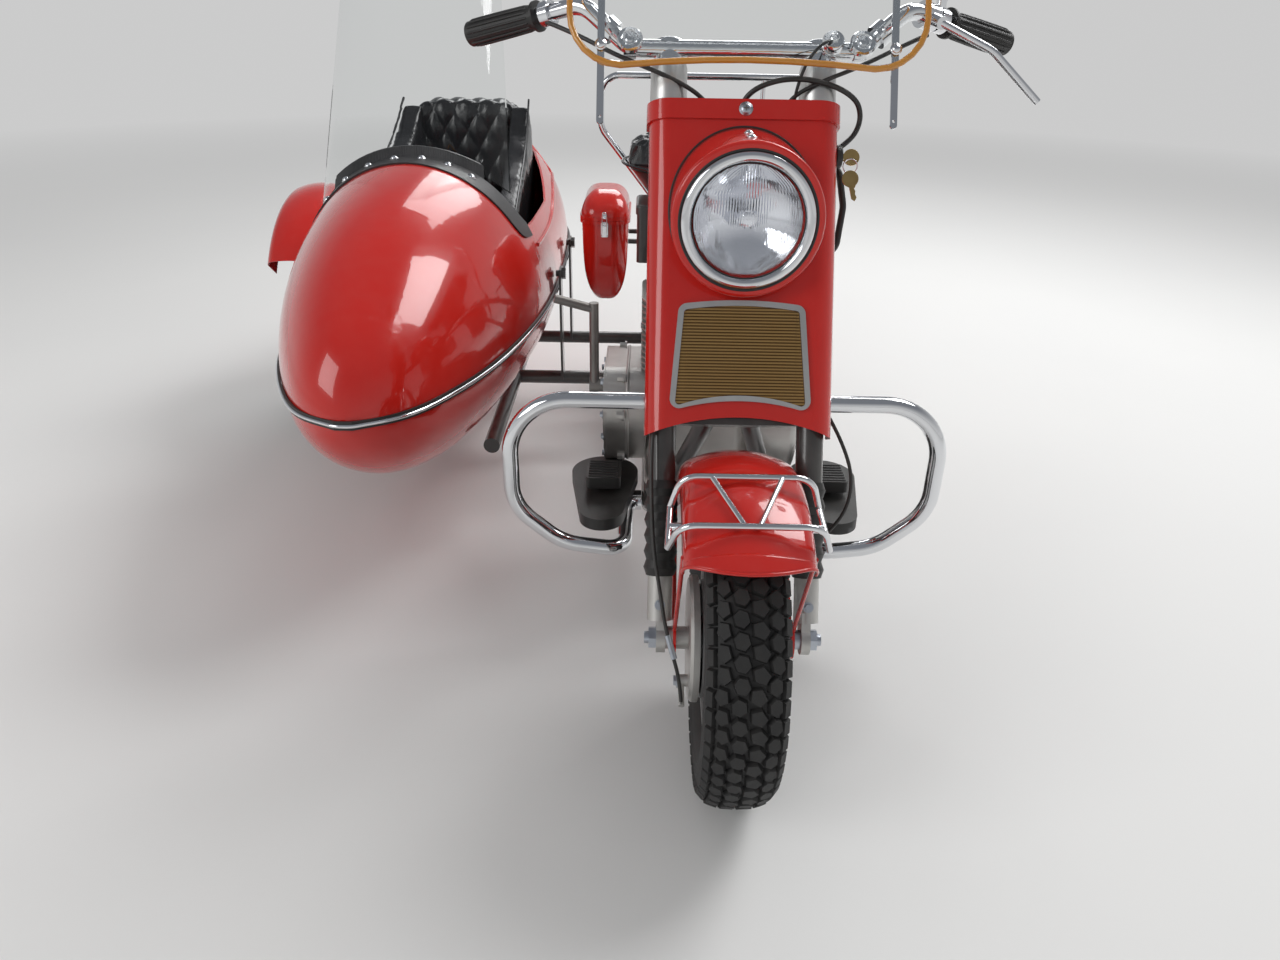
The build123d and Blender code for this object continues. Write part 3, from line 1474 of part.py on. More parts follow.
def screen_cone(inset):
    """Leaning solid that the windscreen's sheet wraps, pulled in by the given amount."""
    with BuildPart() as cone:
        for rise, radius in ((0, screen_radius), (screen_rise, screen_top_radius)):
            with BuildSketch(Plane(origin=(screen_side, screen_centre + rise * screen_rake, screen_base + rise))):
                Circle(radius - inset)
        loft()
    return cone.part


with BuildPart() as sidecar_windscreen:
    add(screen_cone(0))
    add(screen_cone(screen_sheet), mode=Mode.SUBTRACT)
    with BuildSketch(Plane(origin=(screen_side, screen_end, screen_base - 1))):
        Rectangle(2 * screen_radius + 4, 2 * screen_radius + 4, align=(Align.CENTER, Align.MIN))
    extrude(amount=1.2 * screen_rise, dir=(0, screen_rake, 1), mode=Mode.SUBTRACT)
    add(body_loft(fit_gap * 2 + band_sheet, 1), mode=Mode.SUBTRACT)
    with BuildSketch(Plane(origin=(screen_side, 0, 0), x_dir=(1, 0, 0), z_dir=(0, -1, 0))) as front_shape:
        with Locations((0, screen_base - 10)):
            Rectangle(2 * screen_radius + 2, screen_rise - 10, align=(Align.CENTER, Align.MIN))
        fillet(front_shape.vertices().group_by(Axis.Y)[-1], screen_corner)
    extrude(amount=-2500, mode=Mode.INTERSECT)
save(sidecar_windscreen, "sidecar_windscreen")

# Floor board that fills the tub's bottom, with the box that carries the seat
with BuildPart() as sidecar_floor:
    with BuildSketch(Plane(origin=(sidecar_side, 0, 0), x_dir=(0, 1, 0), z_dir=(1, 0, 0))):
        with BuildLine():
            Polyline(
                (floor_front, 0),
                (seat_rear, 0),
                (seat_rear, cushion_bottom - fit_gap),
                (seat_box_front, cushion_bottom - fit_gap),
                (seat_box_front, floor_top),
                (floor_front, floor_top),
                close=True,
            )
        make_face()
    extrude(amount=wing_half_width, both=True)
    add(body_loft(-body_wall - fit_gap, -1, hollow_stations), mode=Mode.INTERSECT)
save(sidecar_floor, "sidecar_floor")

# Sidecar seat: padded back with wings that run forward along the sides, and the cushion between them
with BuildPart() as sidecar_seat:
    with BuildSketch(Plane.XY.offset(cushion_bottom)) as plan:
        with BuildLine():
            Polyline(
                (sidecar_side - wing_half_width, seat_rear),
                (sidecar_side - wing_front_half, wing_front),
                (sidecar_side + wing_front_half, wing_front),
                (sidecar_side + wing_half_width, seat_rear),
                close=True,
            )
        make_face()
        fillet(plan.vertices().group_by(Axis.Y)[-1], 110)
        with BuildLine():
            back_face = seat_rear - seat_back_thickness
            Polyline(
                (sidecar_side - wing_half_width + wing_thickness, back_face),
                (sidecar_side - wing_front_half + wing_thickness, wing_front - 1),
                (sidecar_side + wing_front_half - wing_thickness, wing_front - 1),
                (sidecar_side + wing_half_width - wing_thickness, back_face),
                close=True,
            )
        make_face(mode=Mode.SUBTRACT)
    extrude(amount=seat_top - cushion_bottom)
    with BuildSketch(Plane(origin=(sidecar_side, 0, 0), x_dir=(0, 1, 0), z_dir=(1, 0, 0))):
        with BuildLine():
            Polyline((wing_front - 10, seat_top + 5), (wing_front - 10, wing_top), (wing_front + 20, wing_top + 12))
            ThreePointArc((wing_front + 20, wing_top + 12), (1280, 640), (seat_rear - 110, seat_top - 30))
            ThreePointArc((seat_rear - 110, seat_top - 30), (seat_rear - 60, seat_top - 4), (seat_rear + 5, seat_top - 24))
            Polyline((seat_rear + 5, seat_top - 24), (seat_rear + 5, seat_top + 5), (wing_front - 10, seat_top + 5))
        make_face()
    extrude(amount=wing_front_half + 10, both=True, mode=Mode.SUBTRACT)
save(sidecar_seat, "sidecar_seat_back")

with BuildPart() as sidecar_cushion:
    with BuildSketch(Plane.XY.offset(cushion_bottom)):
        cushion_rear = seat_rear - seat_back_thickness - fit_gap * 2
        with Locations((sidecar_side, (cushion_front + cushion_rear) / 2)):
            RectangleRounded(2 * (wing_half_width - wing_thickness - fit_gap * 2), cushion_rear - cushion_front, 20)
    pad = extrude(amount=cushion_top - cushion_bottom)
    fillet(pad.faces().sort_by(Axis.Z)[-1].edges(), 15)
save(sidecar_cushion, "sidecar_cushion")

# Sidecar frame: two rails under the tub, cross tubes out to the scooter, wheel carrier and stub axle
frame_cross_radius = sidecar_rail_radius - 1
tub_bottom = pieces["sidecar_tub"].bounding_box().min.Z
sidecar_rail_height = tub_bottom - fit_gap - frame_cross_radius
scooter_end = -rail_spread - rail_radius - fit_gap
carrier_side = hub_half_length + hub_clear + carrier_thickness
carrier_inner = -sidecar_track + carrier_side
with BuildPart() as sidecar_frame:
    for way in (-1, 1):
        side = sidecar_side + way * sidecar_rail_spread
        rail_start = Vector(side, sidecar_rail_front, sidecar_rail_height)
        post(rail_start, Vector(0, 1, 0), sidecar_rail_radius, sidecar_rail_rear - sidecar_rail_front)
        for reach in (sidecar_cross_front, sidecar_cross_rear):
            share = sidecar_rail_spread / body_size(reach, 1)
            under = belt_height - body_size(reach, 3) * math.sqrt(1 - share**2)
            rest = Vector(side, reach, sidecar_rail_height)
            post(rest, Vector(0, 0, 1), 9, under - sidecar_rail_height - 8)
    for reach in (sidecar_cross_front, sidecar_cross_rear):
        outer_end = carrier_inner if reach == sidecar_cross_rear else sidecar_side - sidecar_rail_spread
        cross_start = Vector(scooter_end, reach, sidecar_rail_height)
        post(cross_start, -across, frame_cross_radius, scooter_end - outer_end)
        bolt_place = Vector(bracket_side, reach, bracket_top - 12)
        bolt_reach = bracket_side - sidecar_side - body_size(reach, 1) - 4
        post(bolt_place, -across, 7, bolt_reach)
        hex_nut(bolt_place + across * bracket_sheet, across, 22.0, 9.0)
        with BuildSketch(Plane(origin=(bracket_side, reach, 0), x_dir=(0, 1, 0), z_dir=(1, 0, 0))):
            with Locations((0, (sidecar_rail_height + bracket_top) / 2)):
                Rectangle(bracket_width, bracket_top - sidecar_rail_height)
        extrude(amount=bracket_sheet)
    with BuildSketch(Plane(origin=(carrier_inner, 0, 0), x_dir=(0, -1, 0), z_dir=(-1, 0, 0))) as carrier:
        with Locations((-sidecar_cross_rear, sidecar_rail_height), (-sidecar_axle_place.Y, tyre_radius)):
            Circle(carrier_radius)
        make_hull()
    extrude(carrier.sketch, amount=carrier_thickness)
    post(sidecar_axle_place + across * carrier_side, -across, axle_radius, carrier_side + hub_half_length + 18)
    sleeve_length = hub_clear - fit_gap
    sleeve_place = sidecar_axle_place + across * (hub_half_length + fit_gap + sleeve_length / 2)
    collar(sleeve_place, across, axle_radius - 1, spacer_radius, sleeve_length)
    hex_nut(sidecar_axle_place - across * (hub_half_length + 2), -across, 26.0, 12.0)
save(sidecar_frame, "sidecar_frame")

sidecar_sizes = (sidecar_fender_half_width, 34.0, 28.0, 44.0, fender_sheet)
sidecar_fender_place = Vector(-sidecar_track, sidecar_axle_place.Y, sidecar_fender_height)
with BuildPart() as sidecar_fender:
    fender_shell(
        sidecar_fender_place,
        sidecar_fender_radius,
        sidecar_sizes,
        sidecar_fender_front_angle,
        sidecar_fender_rear_angle,
    )
    stay_side = carrier_inner - carrier_thickness / 2
    stay_foot = Vector(stay_side, sidecar_axle_place.Y, tyre_radius + carrier_radius + fit_gap)
    post(stay_foot, Vector(0, 0, 1), 6, 40)
    for swing in (-70, 70):
        stay_top = Vector(stay_side, sidecar_axle_place.Y + swing, sidecar_fender_height + sidecar_fender_radius - 66)
        rod([stay_foot + Vector(0, 0, 34), stay_top], 0, 5)
save(sidecar_fender, "sidecar_fender")

# The finished pieces move so that the origin lies at the middle of the whole outline, on the ground
boxes = [piece.bounding_box() for piece in pieces.values()]
low = Vector(min(box.min.X for box in boxes), min(box.min.Y for box in boxes), min(box.min.Z for box in boxes))
high = Vector(max(box.max.X for box in boxes), max(box.max.Y for box in boxes), max(box.max.Z for box in boxes))
origin = Vector((low.X + high.X) / 2, (low.Y + high.Y) / 2, low.Z)
os.makedirs("parts", exist_ok=True)
for label, piece in pieces.items():
    placed = piece.moved(Location(-origin))
    placed.label = label
    export_step(placed, "parts/" + label + ".step")
print("origin", origin, "size", high - low)
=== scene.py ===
import math

import bmesh
import bpy
import numpy as np
from mathutils import Matrix, Vector, noise


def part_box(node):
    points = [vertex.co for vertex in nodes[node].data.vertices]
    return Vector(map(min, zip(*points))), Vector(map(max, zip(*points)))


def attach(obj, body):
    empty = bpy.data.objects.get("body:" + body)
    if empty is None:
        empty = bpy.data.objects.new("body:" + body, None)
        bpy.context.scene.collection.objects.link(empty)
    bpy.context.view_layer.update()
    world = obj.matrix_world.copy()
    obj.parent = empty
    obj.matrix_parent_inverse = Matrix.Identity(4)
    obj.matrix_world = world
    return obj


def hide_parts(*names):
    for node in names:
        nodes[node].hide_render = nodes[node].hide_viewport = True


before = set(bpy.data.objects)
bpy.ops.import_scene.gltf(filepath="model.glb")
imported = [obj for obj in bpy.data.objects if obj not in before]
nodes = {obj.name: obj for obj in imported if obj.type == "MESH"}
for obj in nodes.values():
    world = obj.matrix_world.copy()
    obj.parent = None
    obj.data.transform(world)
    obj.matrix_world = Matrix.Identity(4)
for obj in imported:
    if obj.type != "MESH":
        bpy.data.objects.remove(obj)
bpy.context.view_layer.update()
view_layer = bpy.context.view_layer
scene = bpy.context.scene

# Sizes that this file shares with the part, in millimetres from the scooter's centre plane,
# its front axle and the ground
rake = math.radians(26.5)
wheel_radius = 216.0
pod_height = 733.0
pod_radius = 95.0
lens_radius = 70.5
nacelle_front = -38.0
shield_back = -52.0
sidecar_side = -575.0
belt_height = 395.0
screen_side = -586.0
screen_centre = 985.0
screen_base = 560.0
screen_radius = 214.0
screen_narrowing = 31.0 / 480.0
screen_lean = 0.53
wheels = {
    "front": ("front_roller", (0.0, 0.0, wheel_radius)),
    "rear": ("rear_roller", (0.0, 1300.0, wheel_radius)),
    "sidecar": ("sidecar_roller", (-905.0, 1260.0, wheel_radius)),
}
both_sides = ((-1, "right"), (1, "left"))
leg_side = 98

tyre_low, tyre_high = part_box("front_tyre")
front_axle = (tyre_low + tyre_high) / 2
ground_point = Vector((front_axle.x, front_axle.y, 0))
fork_up = Vector((0, math.sin(rake), math.cos(rake)))
fork_back = Vector((0, math.cos(rake), -math.sin(rake)))
across = Vector((1, 0, 0))
upward = Vector((0, 0, 1))


def spot(x, y, z):
    """Place in metres of a point given in millimetres."""
    return ground_point + Vector((x, y, z)) / 1000


def fork_spot(side, back, up):
    """Place in metres of a point given along the fork."""
    return front_axle + (across * side + fork_back * back + fork_up * up) / 1000


# Making of meshes


def link(piece):
    """Puts a finished object into the scene."""
    scene.collection.objects.link(piece)
    return piece


def mesh_piece(name, points, faces, material, smooth=True):
    """Object made from points and faces, with its faces turned outwards."""
    mesh = bpy.data.meshes.new(name)
    mesh.from_pydata([tuple(point) for point in points], [], faces)
    shell = bmesh.new()
    shell.from_mesh(mesh)
    bmesh.ops.remove_doubles(shell, verts=shell.verts, dist=0.00001)
    bmesh.ops.recalc_face_normals(shell, faces=shell.faces)
    shell.to_mesh(mesh)
    shell.free()
    for face in mesh.polygons:
        face.use_smooth = smooth
    mesh.materials.append(material)
    return link(bpy.data.objects.new(name, mesh))


def applied(piece):
    """The same piece with its modifiers made part of a plain mesh."""
    view_layer.update()
    evaluated = piece.evaluated_get(bpy.context.evaluated_depsgraph_get())
    mesh = bpy.data.meshes.new_from_object(evaluated)
    old = piece.data
    piece.modifiers.clear()
    piece.data = mesh
    if old.users == 0:
        bpy.data.meshes.remove(old)
    return piece


def joined(name, parts):
    """One plain object from several, with its materials kept."""
    shell = bmesh.new()
    materials = []
    for part in parts:
        start = len(shell.faces)
        shell.from_mesh(part.data)
        shell.faces.ensure_lookup_table()
        for face in shell.faces[start:]:
            used = part.data.materials[face.material_index]
            if used not in materials:
                materials.append(used)
            face.material_index = materials.index(used)
    mesh = bpy.data.meshes.new(name)
    shell.to_mesh(mesh)
    shell.free()
    for used in materials:
        mesh.materials.append(used)
    for part in parts:
        bpy.data.objects.remove(part)
    return link(bpy.data.objects.new(name, mesh))


def round_angles(count):
    """Angles of equal steps round a circle."""
    return [2 * math.pi * step / count for step in range(count)]


def turned(name, origin, axis, side, profile, material, steps=96, sharp=0.6):
    """Turned piece: profile gives pairs of radius and distance along the axis, in millimetres."""
    axis = axis.normalized()
    side = side.normalized()
    other = axis.cross(side)
    points = []
    faces = []
    count = len(profile)
    for angle in round_angles(steps):
        way = side * math.cos(angle) + other * math.sin(angle)
        for radius, reach in profile:
            points.append(origin + way * (radius / 1000) + axis * (reach / 1000))
    for step in range(steps):
        here = step * count
        following = (step + 1) % steps * count
        for level in range(count - 1):
            faces.append((here + level, here + level + 1, following + level + 1, following + level))
    piece = mesh_piece(name, points, faces, material)
    shell = bmesh.new()
    shell.from_mesh(piece.data)
    bmesh.ops.dissolve_degenerate(shell, edges=shell.edges, dist=0.00001)
    bmesh.ops.recalc_face_normals(shell, faces=shell.faces)
    for edge in shell.edges:
        if len(edge.link_faces) == 2 and edge.calc_face_angle() > sharp:
            edge.smooth = False
    shell.to_mesh(piece.data)
    shell.free()
    return piece


def tube(name, points, diameter, material, closed=False, round_off=True, sides=4):
    """Round tube along points in metres, as a plain mesh. round_off draws one smooth line near them."""
    curve = bpy.data.curves.new(name, "CURVE")
    curve.dimensions = "3D"
    spline = curve.splines.new("NURBS" if round_off else "POLY")
    spline.points.add(len(points) - 1)
    for slot, point in zip(spline.points, points):
        slot.co = (*point, 1)
    if round_off:
        spline.use_endpoint_u = not closed
        spline.order_u = 3
        spline.resolution_u = 8
    spline.use_cyclic_u = closed
    curve.bevel_depth = diameter / 2000
    curve.bevel_resolution = sides
    curve.use_fill_caps = not closed
    curve.materials.append(material)
    drawn = link(bpy.data.objects.new(name + "_line", curve))
    view_layer.update()
    mesh = bpy.data.meshes.new_from_object(drawn.evaluated_get(bpy.context.evaluated_depsgraph_get()))
    bpy.data.objects.remove(drawn)
    for face in mesh.polygons:
        face.use_smooth = True
    return link(bpy.data.objects.new(name, mesh))


def block(name, outline, rise, material):
    """Closed block: an outline in metres, raised by a vector in metres."""
    count = len(outline)
    points = [Vector(point) for point in outline]
    points += [Vector(point) + rise for point in outline]
    faces = [tuple(range(count)), tuple(range(2 * count - 1, count - 1, -1))]
    for index in range(count):
        following = (index + 1) % count
        faces.append((index, following, count + following, count + index))
    return mesh_piece(name, points, faces, material)


def plate(name, outline, normal, thickness, material, bevel):
    """Flat plate with rounded edges: outline in metres, thickness in metres along the normal."""
    piece = block(name, outline, normal * thickness, material)
    soften = piece.modifiers.new("edges", "BEVEL")
    soften.width = bevel
    soften.segments = 2
    soften.harden_normals = True
    return applied(piece)


def double_grid(outer, inner):
    """Faces of two like grids of points, one over the other, joined along two of their edges."""
    stride = inner + 1
    layer = (outer + 1) * stride
    faces = []
    for start in (0, layer):
        for along in range(outer):
            for over in range(inner):
                corner = start + along * stride + over
                faces.append((corner, corner + 1, corner + stride + 1, corner + stride))
    for along in range(outer):
        for over in (0, inner):
            corner = along * stride + over
            faces.append((corner, corner + stride, corner + stride + layer, corner + layer))
    return faces


def oblong(centre, wide, tall, half_wide, half_tall, corner=2.0, steps=4):
    """Outline in metres of a rounded rectangle, its sides in millimetres along two directions."""
    outline = []
    for turn, (way_wide, way_tall) in enumerate(((1, 1), (-1, 1), (-1, -1), (1, -1))):
        for step in range(steps + 1):
            angle = math.pi / 2 * (turn + step / steps)
            x = way_wide * (half_wide - corner) + corner * math.cos(angle)
            y = way_tall * (half_tall - corner) + corner * math.sin(angle)
            outline.append(centre + (wide * x + tall * y) / 1000)
    return outline


# Node trees


def wire(tree, kind, options=(), inputs=()):
    """Adds a node to a tree, with its options, and its inputs as numbers or as links."""
    made = tree.nodes.new(kind)
    for key, value in dict(options).items():
        setattr(made, key, value)
    for key, value in dict(inputs).items():
        if isinstance(value, bpy.types.NodeSocket):
            tree.links.new(value, made.inputs[key])
        else:
            made.inputs[key].default_value = value
    return made


def sum_of(tree, operation, first, second=0.0, clamp=False):
    """Output of a math node."""
    options = {"operation": operation, "use_clamp": clamp}
    return wire(tree, "ShaderNodeMath", options, {0: first, 1: second}).outputs[0]


def new_tree(name, kind, inputs, outputs):
    """Node group with named inputs and outputs."""
    tree = bpy.data.node_groups.new(name, kind)
    for label, socket, value in inputs:
        made = tree.interface.new_socket(label, in_out="INPUT", socket_type=socket)
        if value is not None:
            made.default_value = value
    for label, socket in outputs:
        tree.interface.new_socket(label, in_out="OUTPUT", socket_type=socket)
    return tree, tree.nodes.new("NodeGroupInput"), tree.nodes.new("NodeGroupOutput")


def object_place(tree):
    """Place on the object itself, so that a finish moves with its piece."""
    return wire(tree, "ShaderNodeTexCoord").outputs["Object"]


def cloud_of(tree, place, scale, detail):
    """Output of a noise texture."""
    inputs = {"Vector": place, "Scale": scale, "Detail": detail}
    return wire(tree, "ShaderNodeTexNoise", (), inputs).outputs["Fac"]


def vector_of(tree, *numbers):
    """Vector made from three numbers."""
    return wire(tree, "ShaderNodeCombineXYZ", (), dict(enumerate(numbers))).outputs[0]


def scaled(tree, value, factor, extra):
    """Output of a value times a factor, plus an extra."""
    inputs = {0: value, 1: factor, 2: extra}
    return wire(tree, "ShaderNodeMath", {"operation": "MULTIPLY_ADD"}, inputs).outputs[0]


def colour_mix(tree, share, first, second):
    """Colour between two, by a share."""
    inputs = {0: share, 6: first, 7: second}
    return wire(tree, "ShaderNodeMix", {"data_type": "RGBA"}, inputs).outputs[2]


def group_of(tree, group, **values):
    """What a node group gives for its named inputs."""
    return wire(tree, "ShaderNodeGroup", {"node_tree": group}, values).outputs[0]


def mottle_group():
    """Soft cloudy mask for colour and gloss that change over a surface."""
    inputs = [("Scale", "NodeSocketFloat", 6.0), ("Contrast", "NodeSocketFloat", 1.0)]
    tree, given, out = new_tree("mottle", "ShaderNodeTree", inputs, [("Mask", "NodeSocketFloat")])
    cloud = cloud_of(tree, object_place(tree), given.outputs["Scale"], 5.0)
    shifted = sum_of(tree, "SUBTRACT", cloud, 0.5)
    widened = sum_of(tree, "MULTIPLY", shifted, given.outputs["Contrast"])
    tree.links.new(sum_of(tree, "ADD", widened, 0.5, clamp=True), out.inputs["Mask"])
    return tree


def grain_group():
    """Fine surface height: cells mixed with noise, as leather, cast metal and moulded rubber have."""
    inputs = [("Scale", "NodeSocketFloat", 700.0), ("Cells", "NodeSocketFloat", 0.5)]
    tree, given, out = new_tree("grain", "ShaderNodeTree", inputs, [("Height", "NodeSocketFloat")])
    place = object_place(tree)
    size = given.outputs["Scale"]
    cells = wire(tree, "ShaderNodeTexVoronoi", (), {"Vector": place, "Scale": size}).outputs["Distance"]
    shares = {0: given.outputs["Cells"], 2: cloud_of(tree, place, size, 3.0), 3: cells}
    mixed = wire(tree, "ShaderNodeMix", {"data_type": "FLOAT"}, shares).outputs[0]
    tree.links.new(mixed, out.inputs["Height"])
    return tree


def dust_group():
    """Mask of dust that settles unevenly, most of it on faces that look up."""
    inputs = [("Amount", "NodeSocketFloat", 0.2)]
    tree, given, out = new_tree("dust", "ShaderNodeTree", inputs, [("Mask", "NodeSocketFloat")])
    normal = wire(tree, "ShaderNodeNewGeometry").outputs["Normal"]
    rise = wire(tree, "ShaderNodeSeparateXYZ", (), {0: normal}).outputs["Z"]
    passage = {"Value": rise, "From Min": -0.2, "From Max": 1.0, "To Min": 0.25}
    level = wire(tree, "ShaderNodeMapRange", (), passage).outputs[0]
    spread = sum_of(tree, "MULTIPLY", cloud_of(tree, object_place(tree), 35.0, 8.0), level)
    mask = sum_of(tree, "MULTIPLY", spread, given.outputs["Amount"], clamp=True)
    tree.links.new(mask, out.inputs["Mask"])
    return tree


def groove_shade_group():
    """Mask of painted shade in parallel grooves that follow each other along one way."""
    inputs = [
        ("Way", "NodeSocketVector", (0.0, 0.0, 1.0)),
        ("Pitch", "NodeSocketFloat", 0.004),
        ("Start", "NodeSocketFloat", 0.0),
    ]
    tree, given, out = new_tree("groove_shades", "ShaderNodeTree", inputs, [("Mask", "NodeSocketFloat")])
    pair = {0: object_place(tree), 1: given.outputs["Way"]}
    reach = wire(tree, "ShaderNodeVectorMath", {"operation": "DOT_PRODUCT"}, pair).outputs["Value"]
    from_start = sum_of(tree, "SUBTRACT", reach, given.outputs["Start"])
    turns = sum_of(tree, "DIVIDE", from_start, given.outputs["Pitch"])
    share = sum_of(tree, "FRACT", sum_of(tree, "ADD", turns, 0.5))
    away = sum_of(tree, "ABSOLUTE", sum_of(tree, "SUBTRACT", share, 0.5))
    passage = {"Value": away, "From Min": 0.2, "From Max": 0.36}
    tree.links.new(wire(tree, "ShaderNodeMapRange", (), passage).outputs[0], out.inputs["Mask"])
    return tree


mottle = mottle_group()
grain = grain_group()
dust = dust_group()
groove_shades = groove_shade_group()
dust_colour = (0.42, 0.39, 0.35, 1)
seen_through_by_lamps = 0.85


def finish(
    name, colour, other, roughness, metallic=0.0, coat=0.0, shine=0.5, cloud=6.0, contrast=1.6,
    spread=0.08, groove_shading=None, grain_size=700.0, cells=0.5, depth=0.0, dusty=0.1,
):
    """Material whose colour, gloss and relief all change over the surface; optional dark lines paint shade
    into a panel's grooves.
    """
    material = bpy.data.materials.new(name)
    material.use_nodes = True
    tree = material.node_tree
    shader = tree.nodes["Principled BSDF"]
    shader.inputs["Metallic"].default_value = metallic
    shader.inputs["Coat Weight"].default_value = coat
    shader.inputs["Specular IOR Level"].default_value = shine
    shader.inputs["Coat Roughness"].default_value = 0.03
    mask = group_of(tree, mottle, Scale=cloud, Contrast=contrast)
    paint = colour_mix(tree, mask, (*colour, 1), (*other, 1))
    # Painted shade: dark lines in the groove colour, laid along the grooves of a ribbed panel
    if groove_shading is not None:
        way, pitch, start, groove_shade = groove_shading
        groove_shade_lines = group_of(tree, groove_shades, Way=way, Pitch=pitch, Start=start)
        paint = colour_mix(tree, groove_shade_lines, paint, (*groove_shade, 1))
    settled = group_of(tree, dust, Amount=dusty)
    tree.links.new(colour_mix(tree, settled, paint, dust_colour), shader.inputs["Base Color"])
    fine = group_of(tree, mottle, Scale=cloud * 9, Contrast=1.3)
    gloss = scaled(tree, fine, spread, roughness - spread / 2)
    dulled = sum_of(tree, "ADD", gloss, sum_of(tree, "MULTIPLY", settled, 0.5), clamp=True)
    tree.links.new(dulled, shader.inputs["Roughness"])
    if depth > 0:
        relief = group_of(tree, grain, Scale=grain_size, Cells=cells)
        bump = wire(tree, "ShaderNodeBump", (), {"Strength": 1.0, "Distance": depth, "Height": relief})
        tree.links.new(bump.outputs[0], shader.inputs["Normal"])
    return material


def glass(name, colour, roughness, refraction):
    """Clear material that lets the lamps' light through to what is behind it."""
    material = bpy.data.materials.new(name)
    material.use_nodes = True
    tree = material.node_tree
    shader = tree.nodes["Principled BSDF"]
    shader.inputs["Base Color"].default_value = (*colour, 1)
    shader.inputs["Transmission Weight"].default_value = 1.0
    shader.inputs["IOR"].default_value = refraction
    haze = group_of(tree, mottle, Scale=4.0, Contrast=2.0)
    tree.links.new(scaled(tree, haze, roughness, roughness * 0.5), shader.inputs["Roughness"])
    through = wire(tree, "ShaderNodeBsdfTransparent", (), {"Color": (*colour, 1)})
    lamps = wire(tree, "ShaderNodeLightPath").outputs["Is Shadow Ray"]
    share = sum_of(tree, "MULTIPLY", lamps, seen_through_by_lamps)
    mixed = wire(tree, "ShaderNodeMixShader", (), {0: share, 1: shader.outputs[0], 2: through.outputs[0]})
    tree.links.new(mixed.outputs[0], tree.nodes["Material Output"].inputs["Surface"])
    return material


red_enamel = finish(
    "red_enamel", (0.6, 0.013, 0.006), (0.53, 0.009, 0.005), 0.22, coat=0.8, shine=0.25, cloud=2.5,
    grain_size=260.0, cells=0.0, depth=0.00002, dusty=0.05,
)
black_enamel = finish(
    "black_enamel", (0.012, 0.012, 0.013), (0.022, 0.021, 0.02), 0.28, coat=0.6,
    grain_size=300.0, cells=0.0, depth=0.00003, dusty=0.25,
)
chrome = finish(
    "chrome", (0.82, 0.83, 0.85), (0.74, 0.75, 0.77), 0.07, metallic=1.0, cloud=9.0,
    spread=0.05, dusty=0.03,
)
zinc_plate = finish(
    "zinc_plate", (0.56, 0.6, 0.66), (0.42, 0.45, 0.5), 0.32, metallic=1.0, cloud=40.0,
    grain_size=1500.0, depth=0.00003, dusty=0.12,
)
cast_alloy = finish(
    "cast_alloy", (0.62, 0.61, 0.59), (0.48, 0.47, 0.45), 0.4, metallic=0.85, cloud=18.0,
    grain_size=900.0, cells=0.3, depth=0.00012, dusty=0.14,
)
barrel_alloy = finish(
    "barrel_alloy", (0.62, 0.61, 0.58), (0.46, 0.45, 0.43), 0.45, metallic=0.8, cloud=22.0,
    grain_size=800.0, cells=0.2, depth=0.00015, dusty=0.15,
)
dull_steel = finish(
    "dull_steel", (0.27, 0.26, 0.25), (0.16, 0.15, 0.14), 0.42, metallic=0.9, cloud=25.0,
    grain_size=1100.0, depth=0.00006, dusty=0.3,
)
silver_paint = finish(
    "silver_paint", (0.5, 0.5, 0.5), (0.42, 0.42, 0.42), 0.34, metallic=0.7, coat=0.3,
    grain_size=2200.0, depth=0.00002, dusty=0.2,
)
tyre_rubber = finish(
    "tyre_rubber", (0.009, 0.009, 0.01), (0.018, 0.0175, 0.017), 0.62, cloud=30.0, contrast=2.2,
    grain_size=1200.0, cells=0.3, depth=0.00012, dusty=0.06,
)
moulded_rubber = finish(
    "moulded_rubber", (0.008, 0.008, 0.0085), (0.017, 0.0165, 0.016), 0.42, cloud=20.0,
    grain_size=1400.0, cells=0.2, depth=0.00006, dusty=0.1,
)
leather = finish(
    "leather", (0.004, 0.0044, 0.0055), (0.009, 0.0095, 0.011), 0.24, coat=0.2, shine=0.4, cloud=14.0,
    grain_size=620.0, cells=0.8, depth=0.00016, dusty=0.03, spread=0.08,
)
band_vinyl = finish(
    "band_vinyl", (0.012, 0.013, 0.015), (0.022, 0.023, 0.027), 0.42, coat=0.1, cloud=20.0,
    grain_size=500.0, cells=0.8, depth=0.0002, dusty=0.1,
)
gold_panel = finish(
    "gold_panel", (0.5, 0.31, 0.11), (0.4, 0.235, 0.08), 0.34, metallic=0.75, cloud=9.0,
    contrast=1.0, grain_size=1600.0, depth=0.00004, dusty=0.05,
    # Painted shade: dark brown lines in the panel's grooves, every 4 mm along the fork
    groove_shading=(fork_up, 0.004, front_axle.dot(fork_up) + 0.3765, (0.12, 0.062, 0.02)),
)
floor_mat = finish(
    "floor_mat", (0.03, 0.03, 0.03), (0.05, 0.048, 0.045), 0.78, cloud=12.0,
    grain_size=420.0, cells=0.7, depth=0.0004, dusty=0.5,
)
brass = finish(
    "brass", (0.66, 0.46, 0.19), (0.48, 0.32, 0.13), 0.3, metallic=1.0, cloud=60.0,
    grain_size=1800.0, depth=0.00003, dusty=0.05,
)
amber_trim = finish(
    "amber_trim", (0.62, 0.27, 0.03), (0.5, 0.2, 0.02), 0.25, coat=0.7, cloud=8.0,
    grain_size=600.0, depth=0.00002, dusty=0.08,
)
cable_black = finish(
    "cable_black", (0.012, 0.012, 0.012), (0.024, 0.023, 0.022), 0.38, cloud=30.0,
    grain_size=1800.0, depth=0.00003, dusty=0.12,
)
